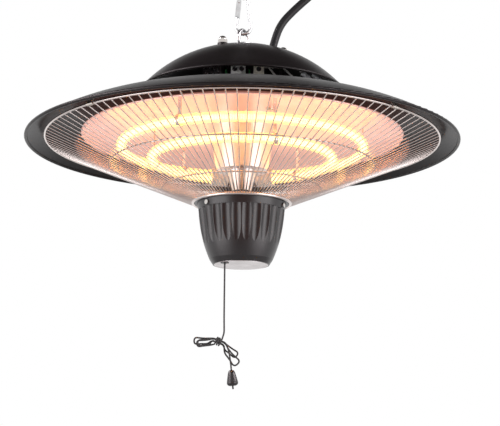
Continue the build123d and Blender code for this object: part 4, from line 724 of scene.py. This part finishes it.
@dataclass
class MainsCord:
    """The mains cord: up from the gland to the coil beside the chain, and on to the plug.

    Sizes are in millimetres, heights are over the hood's rim, angles are in degrees, and the
    declared length is in metres.
    """

    radius: float = 4.0
    length: float = 1.658
    facets: int = 20
    exit: Point = (28.4168, 23.1544, 101.431)
    gland_normal: Point = (0.202399, 0.164918, 0.965317)
    lead_up: float = 14.0
    bends: tuple[Point, ...] = (
        (37.9, 26.4, 134.6),
        (53.0, 25.6, 151.0),
        (74.3, 24.6, 170.2),
        (91.0, 23.9, 199.5),
        (99.6, 23.5, 229.0),
    )
    held_points: int = 2
    coil_x: float = 43.0
    coil_height: float = 265.0
    back_y: float = 23.5
    front_y: float = 14.8
    outer_radius: float = 52.4
    pitch: float = 8.7
    start_angle: float = 18.7
    layer_turns: float = 2.363
    climb_turns: float = 0.5
    climb_dip: float = 0.25
    steps: int = 16
    lead_in: float = 29.0
    lead_out: float = 26.0
    out_headings: tuple[float, ...] = (210.0, 230.0, 250.0, 270.0)
    out_runs: tuple[float, ...] = (20.7, 20.7, 20.4, 24.2)

    def coil_point(self, turns: float) -> Vector:
        """A point of the coil: out to in on the back layer, then in to out on the front one.

        Args:
            turns: The turns wound so far.

        Returns:
            The point.
        """
        inner = self.outer_radius - self.pitch * self.layer_turns
        climbed = min(max((turns - self.layer_turns) / self.climb_turns, 0.0), 1.0)
        if climbed == 0.0:
            radius = self.outer_radius - self.pitch * turns
        elif climbed == 1.0:
            radius = inner + self.pitch * (turns - self.layer_turns - self.climb_turns)
        else:
            radius = inner - self.pitch * sin(pi * climbed) * self.climb_dip
        depth = self.back_y + (self.front_y - self.back_y) * climbed**2 * (3 - 2 * climbed)
        centre = place(self.coil_x, depth, self.coil_height)
        return centre + toward(self.start_angle + 360 * turns) * (radius * MM)

    def route(self) -> list[Vector]:
        """The cord's way from the gland to the plug.

        Returns:
            Its control points.
        """
        start = place(*self.exit)
        points = [start, start + Vector(self.gland_normal) * (self.lead_up * MM)]
        points += [place(*bend) for bend in self.bends]
        total = 2 * self.layer_turns + self.climb_turns
        count = round(total * self.steps)
        coil = [self.coil_point(total * index / count) for index in range(count + 1)]
        into = (coil[1] - coil[0]).normalized()
        outward = (coil[-1] - coil[-2]).normalized()
        points.append(coil[0] - into * (self.lead_in * MM))
        points += coil
        points.append(coil[-1] + outward * (self.lead_out * MM))
        for heading, run in zip(self.out_headings, self.out_runs):
            points.append(points[-1] + toward(heading) * (run * MM))
        return points

    def build(self) -> None:
        line = spline_points(self.route())
        LOG.info("the mains cord's line is %.4f m long", line_length(line))
        mesh = tube_mesh("mains_cord", line, self.radius * MM, self.facets)
        mesh.materials.append(SHEATH.build())
        piece = add_object("mains_cord", mesh)
        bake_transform(piece)
        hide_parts("power_cord", "power_cord_coil", "power_cord_end")


@dataclass
class PullCord:
    """The pull cord: down from the switch, wound into a hank, and on to its toggle.

    Sizes are in millimetres, heights are over the hood's rim, angles are in degrees, and the
    declared length is in metres. A station is a point of the cord and its heading there. A loop
    of the hank is its length and direction, and the toggle's profile is its radius and the way
    down its axis.
    """

    radius: float = 0.8
    facets: int = 8
    length: float = 0.4639
    run: tuple[Point, ...] = (
        (-15.5, -15.0, -95.0),
        (-15.5, -15.0, -134.0),
        (-15.5, -15.0, -172.0),
        (-15.3, -16.6, -180.0),
        (-15.2, -19.2, -186.4),
        (-16.6, -20.2, -190.9),
    )
    tail: tuple[Point, ...] = (
        (-9.4, -17.1, -210.5),
        (-8.6, -17.1, -215.5),
        (-8.1, -17.1, -221.0),
    )
    knot: Point = (-20.9, -15.0, -194.0)
    bundle_angle: float = -20.0
    lane: float = 2.1
    waist_gap: float = 1.1
    waist_half: float = 3.3
    wrap_turns: float = 2.33
    wrap_pitch: float = 2.05
    wrap_clearance: float = 0.45
    belly_share: float = 0.55
    loop_half_width: float = 2.6
    right_loops: tuple[Span, ...] = ((22.0, -36.0), (28.0, -49.0))
    left_loops: tuple[Span, ...] = ((20.0, 186.0), (22.5, 179.0), (19.0, 186.0))
    toggle_tilt: float = 6.0
    toggle_facets: int = 40
    toggle_profile: tuple[Span, ...] = (
        (0.0, 0.0),
        (1.5, 0.0),
        (2.2, 0.25),
        (2.8, 1.0),
        (3.3, 2.0),
        (3.55, 3.0),
        (4.1, 5.4),
        (4.65, 8.0),
        (5.15, 10.4),
        (5.34, 11.8),
        (5.2, 12.8),
        (4.6, 13.7),
        (3.6, 14.3),
        (2.6, 14.58),
        (0.0, 14.6),
    )
    stub: float = 3.0
    depthward: Vector = field(default_factory=lambda: Vector((0.0, 1.0, 0.0)))

    def wrap_stations(self) -> list[Station]:
        """The cord's turns round the hank's waist.

        Returns:
            Their stations.
        """
        onward = toward(self.bundle_angle)
        upward = toward(self.bundle_angle + 90)
        wrap_radius = self.waist_gap + 2 * self.radius + self.wrap_clearance
        around = 4 * self.lane + 2 * pi * wrap_radius
        slope = self.wrap_pitch / around
        quarter = pi * wrap_radius / 2
        # A stop is its depth and rise, the heading's two parts, and the way passed in its turn.
        stops = [
            (-self.lane - wrap_radius, 0.0, 0, -1, 0.0),
            (-self.lane, -wrap_radius, 1, 0, quarter),
            (self.lane, -wrap_radius, 1, 0, quarter + 2 * self.lane),
            (self.lane + wrap_radius, 0.0, 0, 1, 2 * quarter + 2 * self.lane),
            (self.lane, wrap_radius, -1, 0, 3 * quarter + 2 * self.lane),
            (-self.lane, wrap_radius, -1, 0, 3 * quarter + 4 * self.lane),
        ]
        stations = []
        for number in range(ceil(self.wrap_turns) * len(stops)):
            turn, stop = divmod(number, len(stops))
            depth, rise, depth_way, rise_way, passed = stops[stop]
            travelled = turn * around + passed
            if travelled > self.wrap_turns * around:
                continue
            across = self.wrap_turns * self.wrap_pitch / 2 - travelled * slope
            shift = onward * across + self.depthward * depth + upward * rise
            heading = self.depthward * depth_way + upward * rise_way - onward * slope
            stations.append((place(*self.knot) + shift * MM, heading.normalized()))
        return stations

    def lane_base(self, lane: int) -> Vector:
        """The middle of the hank's waist in a lane."""
        return place(*self.knot) + self.depthward * ((self.lane - lane * self.lane) * MM)

    def waist_stations(self, lane: int, sense: int) -> list[Station]:
        """A strand's two ends in the waist.

        Args:
            lane: The strand's lane, from the back.
            sense: 1 for an upper strand, which runs right, or -1.

        Returns:
            Two stations.
        """
        onward = toward(self.bundle_angle) * sense
        lift = toward(self.bundle_angle + 90) * (self.waist_gap * sense * MM)
        middle = self.lane_base(lane) + lift
        reach = onward * (self.waist_half * MM)
        return [(middle - reach, onward), (middle + reach, onward)]

    def loop_stations(self, length: float, angle: float, lane: int) -> list[Station]:
        """A loop's outgoing belly, tip and returning belly.

        Args:
            length: The loop's length in millimetres.
            angle: Its direction in degrees.
            lane: Its lane, from the back.

        Returns:
            Three stations.
        """
        along = toward(angle)
        turned = -toward(angle + 90)
        base = self.lane_base(lane)
        belly = along * (length * self.belly_share * MM)
        side = turned * (self.loop_half_width * MM)
        tip = base + along * (length * MM)
        return [(base + belly - side, along), (tip, turned), (base + belly + side, -along)]

    def route(self) -> list[Vector]:
        """The cord's way from the switch to the stub under the toggle.

        Returns:
            Its control points.
        """
        run = [place(*point) for point in self.run]
        tail = [place(*point) for point in self.tail]
        pull_heading = (run[-1] - run[-2]).normalized()
        tail_heading = (tail[1] - tail[0]).normalized()
        lead = 2 * self.radius * MM
        stations = [(run[-1], pull_heading), (run[-1] + pull_heading * lead, pull_heading)]
        stations += self.wrap_stations()[1:]
        for lane, (length, angle) in enumerate(self.left_loops):
            stations += self.loop_stations(length, angle, lane)
            stations += self.waist_stations(lane, 1)
            if lane < len(self.right_loops):
                stations += self.loop_stations(*self.right_loops[lane], lane)
                stations += self.waist_stations(lane, -1)
        stations += [(tail[0] - tail_heading * lead, tail_heading), (tail[0], tail_heading)]
        points = list(run)
        for (start, heading), (end, end_heading) in zip(stations[1:], stations[2:]):
            points += biarc_handles(start, heading, end, end_heading)
        points += tail[1:]
        toggle_length = self.toggle_profile[-1][1]
        points.append(tail[-1] + self.toggle_down() * ((toggle_length + self.stub) * MM))
        return points

    def toggle_down(self) -> Vector:
        """The toggle's axis, downwards."""
        return -toward(90 + self.toggle_tilt)

    def build_toggle(self) -> bpy.types.Object:
        """Turn the bell-shaped toggle, with its small neck and rounded lip.

        Returns:
            The piece.
        """
        profile = [(radius * MM, along * MM) for radius, along in self.toggle_profile]
        top = place(*self.tail[-1])
        mesh = lathe_mesh("toggle_bell", profile, top, self.toggle_down(), self.toggle_facets)
        mesh.materials.append(PLASTIC.build())
        return seat(add_object("toggle_bell", mesh), Body.PULL, "black_plastic", "toggle")

    def build(self) -> None:
        toggle = self.build_toggle()
        line = spline_points(self.route())
        LOG.info("the pull cord's line is %.4f m long", line_length(line))
        mesh = tube_mesh("pull_line", line, self.radius * MM, self.facets)
        mesh.materials.append(BRAID.build())
        piece = seat(
            add_object("pull_line", mesh),
            Body.PULL,
            "pull_cord_fabric",
            "pull_cord",
            "pull_cord_hank",
            "pull_cord_tail",
        )


class SocketKind(Enum):
    """The kinds of a Geometry Nodes tree's inputs and outputs."""

    NUMBER = "NodeSocketFloat"
    COUNT = "NodeSocketInt"
    FINISH = "NodeSocketMaterial"
    SHAPE = "NodeSocketGeometry"


@dataclass
class TurnsTree:
    """A Geometry Nodes tree that sets small wire turns round an open ring."""

    name: str = "wire_turns"
    ring_steps: int = 128
    turn_facets: int = 10
    wire_facets: int = 4

    def __post_init__(self) -> None:
        """Build the tree once."""
        self.tree = bpy.data.node_groups.new(self.name, "GeometryNodeTree")
        self.add_sockets()
        self.add_nodes()

    def add_sockets(self) -> None:
        """Name the tree's inputs and its output."""
        inputs = {
            "Ring radius": SocketKind.NUMBER,
            "Start angle": SocketKind.NUMBER,
            "Sweep": SocketKind.NUMBER,
            "Turn radius": SocketKind.NUMBER,
            "Wire radius": SocketKind.NUMBER,
            "Height": SocketKind.NUMBER,
            "Turns": SocketKind.COUNT,
            "Material": SocketKind.FINISH,
        }
        sockets = self.tree.interface
        for label, kind in inputs.items():
            sockets.new_socket(label, in_out="INPUT", socket_type=kind.value)
        sockets.new_socket("Geometry", in_out="OUTPUT", socket_type=SocketKind.SHAPE.value)

    def add_nodes(self) -> None:
        """Set a turn of wire on each of the ring's points, lift them and give them their finish."""
        wiring = Wiring(self.tree)
        given = wiring.add("NodeGroupInput")
        arc = wiring.add("GeometryNodeCurveArc")
        points = wiring.add("GeometryNodeCurveToPoints")
        lift = wiring.add("GeometryNodeTransform")
        height = wiring.add("ShaderNodeCombineXYZ")
        turn = wiring.add("GeometryNodeCurvePrimitiveCircle")
        wire = wiring.add("GeometryNodeCurvePrimitiveCircle")
        tube = wiring.add("GeometryNodeCurveToMesh")
        scatter = wiring.add("GeometryNodeInstanceOnPoints")
        real = wiring.add("GeometryNodeRealizeInstances")
        smooth = wiring.add("GeometryNodeSetShadeSmooth")
        paint = wiring.add("GeometryNodeSetMaterial")
        result = wiring.add("NodeGroupOutput")
        for curve, steps in (
            (arc, self.ring_steps),
            (turn, self.turn_facets),
            (wire, self.wire_facets),
        ):
            curve.inputs["Resolution"].default_value = steps
        for source, output, target, entry in (
            (given, "Ring radius", arc, "Radius"),
            (given, "Start angle", arc, "Start Angle"),
            (given, "Sweep", arc, "Sweep Angle"),
            (given, "Turn radius", turn, "Radius"),
            (given, "Wire radius", wire, "Radius"),
            (given, "Height", height, "Z"),
            (given, "Turns", points, "Count"),
            (given, "Material", paint, "Material"),
            (arc, "Curve", points, "Curve"),
            (turn, "Curve", tube, "Curve"),
            (wire, "Curve", tube, "Profile Curve"),
            (points, "Points", scatter, "Points"),
            (points, "Rotation", scatter, "Rotation"),
            (tube, "Mesh", scatter, "Instance"),
            (scatter, "Instances", lift, "Geometry"),
            (height, "Vector", lift, "Translation"),
            (lift, "Geometry", real, "Geometry"),
            (real, "Geometry", smooth, "Geometry"),
            (smooth, "Geometry", paint, "Geometry"),
            (paint, "Geometry", result, "Geometry"),
        ):
            wiring.link(source.outputs[output], target.inputs[entry])

    def mesh(self, name: str, values: dict[str, object]) -> bpy.types.Mesh:
        """The tree's result as a plain mesh.

        Args:
            name: The mesh's name.
            values: The inputs by their labels.

        Returns:
            The mesh.
        """
        holder = add_object(f"{name}_maker", bpy.data.meshes.new(f"{name}_maker"))
        modifier = holder.modifiers.new(self.name, "NODES")
        modifier.node_group = self.tree
        for item in self.tree.interface.items_tree:
            if item.in_out == "INPUT":
                modifier[item.identifier] = values[item.name]
        holder.update_tag()
        bpy.context.view_layer.update()
        evaluated = holder.evaluated_get(bpy.context.evaluated_depsgraph_get())
        mesh = bpy.data.meshes.new_from_object(evaluated)
        mesh.name = name
        holder.modifiers.remove(modifier)
        bpy.data.objects.remove(holder)
        return mesh


@dataclass
class Filaments:
    """The wound heating wires in the two quartz rings.

    A ring is a name, a radius, a height over the hood's rim and a number of turns. Sizes are in
    millimetres and angles in degrees.
    """

    rings: tuple[tuple[str, float, float, int], ...] = (
        ("outer_filament", 118.6, -3.0, 300),
        ("inner_filament", 88.4, -14.5, 224),
    )
    break_width: float = 44.0
    break_azimuth: float = 90.0
    turn_radius: float = 2.3
    wire_radius: float = 0.55

    def build(self) -> None:
        """Wind both filaments and join them in one piece."""
        tree = TurnsTree()
        finish = FILAMENT.build()
        joined = bmesh.new()
        for name, radius, height, turns in self.rings:
            half_break = self.break_width / 2 / radius
            values = {
                "Ring radius": radius * MM,
                "Start angle": radians(self.break_azimuth) + half_break,
                "Sweep": 2 * pi - 2 * half_break,
                "Turn radius": self.turn_radius * MM,
                "Wire radius": self.wire_radius * MM,
                "Height": RIM_Z + height * MM,
                "Turns": turns,
                "Material": finish,
            }
            part = tree.mesh(name, values)
            joined.from_mesh(part)
            bpy.data.meshes.remove(part)
        for face in joined.faces:
            face.smooth = True
        mesh = bpy.data.meshes.new("filament_turns")
        joined.to_mesh(mesh)
        joined.free()
        mesh.materials.clear()
        mesh.materials.append(finish)
        seat(add_object("filament_turns", mesh), Body.HEATER, "heating_wire", "filaments")


@dataclass(frozen=True)
class Lamp:
    """An area lamp that faces the middle of the hood's rim, with sizes in metres."""

    name: str
    spot: Point
    size: Span
    power: float
    colour: Colour = (1.0, 0.97, 0.98)

    def build(self) -> bpy.types.Object:
        """Add the lamp.

        Returns:
            The lamp.
        """
        data = bpy.data.lights.new(self.name, "AREA")
        data.shape = "RECTANGLE"
        data.size, data.size_y = self.size
        data.energy = self.power
        data.color = self.colour
        holder = bpy.data.objects.new(self.name, data)
        holder.location = self.spot
        facing = Vector((0.0, 0.0, RIM_Z)) - Vector(self.spot)
        holder.rotation_euler = facing.to_track_quat("-Z", "Y").to_euler()
        bpy.context.scene.collection.objects.link(holder)
        return holder


@dataclass(frozen=True)
class SheenLamp(Lamp):
    """A lamp that only shows in reflections."""

    colour: Colour = (1.0, 0.88, 0.91)

    def build(self) -> bpy.types.Object:
        """Add the lamp.

        Returns:
            The lamp.
        """
        holder = super().build()
        holder.visible_diffuse = False
        return holder


@dataclass(frozen=True)
class Flag:
    """A dark patch of the surround round a direction, which only reflections show.

    Its start and its full shade are given by the cosine of the angle to that direction.
    """

    facing: Point
    start: float
    full: float
    shade: Colour


@dataclass
class Studio:
    """The camera, the lamps, the pale floor and the surround.

    Sizes are in metres, angles in degrees, and the focal length and the centre in pixels.
    """

    distance: float = 1.5
    pitch: float = 14.21
    roll: float = 0.57
    focal_pixels: float = 1529.6
    centre_x: float = 242.2
    centre_y: float = 145.5
    sensor: float = 36.0
    view_depth: float = 50.0
    floor_z: float = -1.1
    floor_half: float = 1.5
    diffuse_level: float = 0.5
    lamps: tuple[Lamp, ...] = (
        Lamp("left_box", (-1.5, -0.85, -0.62), (1.4, 0.9), 9.0),
        Lamp("right_box", (1.5, -0.85, -0.62), (1.4, 0.9), 9.0),
        SheenLamp("left_sheen", (-1.5, -0.85, -0.62), (1.2, 0.9), 24.0),
        SheenLamp("right_sheen", (1.5, -0.85, -0.62), (1.2, 0.9), 24.0),
        SheenLamp("left_strip", (-1.35, -0.35, 0.35), (1.3, 0.22), 26.0),
        SheenLamp("right_strip", (1.35, -0.35, 0.35), (1.3, 0.22), 12.0),
    )
    flags: tuple[Flag, ...] = (
        Flag((0.0, -0.955, -0.292), 0.84, 0.9, (0.42, 0.19, 0.13)),
        Flag((0.0, 0.0, 1.0), 0.45, 0.72, (0.09, 0.08, 0.08)),
    )

    def camera(self) -> None:
        """Set the camera at the photograph's place."""
        data = bpy.data.cameras.new("camera")
        data.sensor_width = self.sensor
        data.lens = self.focal_pixels / PHOTO_WIDTH * self.sensor
        data.shift_x = (PHOTO_WIDTH / 2 - self.centre_x) / PHOTO_WIDTH
        data.shift_y = -(PHOTO_HEIGHT / 2 - self.centre_y) / PHOTO_WIDTH
        data.clip_end = self.view_depth
        pitch = radians(self.pitch)
        forward = Vector((0.0, cos(pitch), sin(pitch)))
        upward = Vector((0.0, -sin(pitch), cos(pitch)))
        turn = Matrix((Vector((1.0, 0.0, 0.0)), upward, -forward)).transposed().to_4x4()
        roll = Matrix.Rotation(radians(self.roll), 4, "Z")
        holder = bpy.data.objects.new("camera", data)
        bpy.context.scene.collection.objects.link(holder)
        spot = Vector((0.0, 0.0, RIM_Z)) - forward * self.distance
        holder.matrix_world = Matrix.Translation(spot) @ turn @ roll
        bpy.context.scene.camera = holder

    def surround_strength(self, wiring: Wiring, rays: bpy.types.Node) -> bpy.types.NodeSocket:
        """Full strength for the camera, gloss and glass, and a softer one for diffuse light.

        Args:
            wiring: The surround's nodes.
            rays: The node that tells the kinds of ray apart.

        Returns:
            The strength.
        """
        seen = wiring.add("ShaderNodeMath", operation="MAXIMUM")
        every = wiring.add("ShaderNodeMath", operation="MAXIMUM")
        strength = wiring.add("ShaderNodeMapRange")
        fill(strength, {"To Min": self.diffuse_level, "To Max": 1.0})
        wiring.link(rays.outputs["Is Camera Ray"], seen.inputs[0])
        wiring.link(rays.outputs["Is Glossy Ray"], seen.inputs[1])
        wiring.link(seen.outputs["Value"], every.inputs[0])
        wiring.link(rays.outputs["Is Transmission Ray"], every.inputs[1])
        wiring.link(every.outputs["Value"], strength.inputs["Value"])
        return strength.outputs["Result"]

    def surround_colour(self, wiring: Wiring, rays: bpy.types.Node) -> bpy.types.NodeSocket:
        """White, with the dark flags in reflections.

        Args:
            wiring: The surround's nodes.
            rays: The node that tells the kinds of ray apart.

        Returns:
            The colour.
        """
        coords = wiring.add("ShaderNodeTexCoord")
        colour = None
        for flag in self.flags:
            across = wiring.add("ShaderNodeVectorMath", operation="DOT_PRODUCT")
            across.inputs[1].default_value = flag.facing
            wiring.link(coords.outputs["Generated"], across.inputs[0])
            share = wiring.add("ShaderNodeMapRange", interpolation_type="SMOOTHSTEP")
            fill(share, {"From Min": flag.start, "From Max": flag.full})
            wiring.link(across.outputs["Value"], share.inputs["Value"])
            mix = wiring.add("ShaderNodeMixRGB")
            fill(mix, {"Color1": WHITE, "Color2": (*flag.shade, 1.0)})
            wiring.link(share.outputs["Result"], mix.inputs["Fac"])
            if colour:
                wiring.link(colour, mix.inputs["Color1"])
            colour = mix.outputs["Color"]
        shown = wiring.add("ShaderNodeMixRGB")
        shown.inputs["Color1"].default_value = WHITE
        wiring.link(rays.outputs["Is Glossy Ray"], shown.inputs["Fac"])
        wiring.link(colour, shown.inputs["Color2"])
        return shown.outputs["Color"]

    def surround(self) -> None:
        """Set up the surround that lights and backs the scene."""
        world = bpy.data.worlds.new("studio")
        bpy.context.scene.world = world
        world.use_nodes = True
        wiring = Wiring(world.node_tree)
        background = wiring.tree.nodes["Background"]
        rays = wiring.add("ShaderNodeLightPath")
        wiring.link(self.surround_strength(wiring, rays), background.inputs["Strength"])
        wiring.link(self.surround_colour(wiring, rays), background.inputs["Color"])

    def floor(self) -> None:
        """Lay a plain pale floor under the hanging heater."""
        half, low = self.floor_half, self.floor_z
        square = [(-half, -half, low), (half, -half, low), (half, half, low), (-half, half, low)]
        mesh = bpy.data.meshes.new("floor")
        mesh.from_pydata(square, [], [(0, 1, 2, 3)])
        mesh.materials.append(FLOOR_PAINT.build())
        add_object("floor", mesh)

    def build(self) -> None:
        """Set up the whole studio."""
        self.camera()
        self.surround()
        self.floor()
        for lamp in self.lamps:
            lamp.build()
        bpy.context.scene.view_settings.view_transform = "Standard"


def dress_nodes(nodes: dict[str, bpy.types.Object]) -> None:
    """Give every CAD node its finish, apart from those that a finer piece stands for.

    Args:
        nodes: The CAD nodes by name.
    """
    for finish, names in NODE_FINISHES.items():
        material = finish.build()
        for name in names:
            mesh = nodes[name].data
            mesh.materials.clear()
            mesh.materials.append(material)
        LOG.info("%s dresses %s", finish.name, ", ".join(names))


def main() -> None:
    """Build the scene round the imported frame."""
    logging.basicConfig(level=logging.INFO, format="%(name)s: %(message)s")
    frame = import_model()
    dress_nodes(frame["nodes"])
    MainsCord().build()
    PullCord().build()
    Filaments().build()
    Studio().build()


if __name__ == "__main__":
    main()
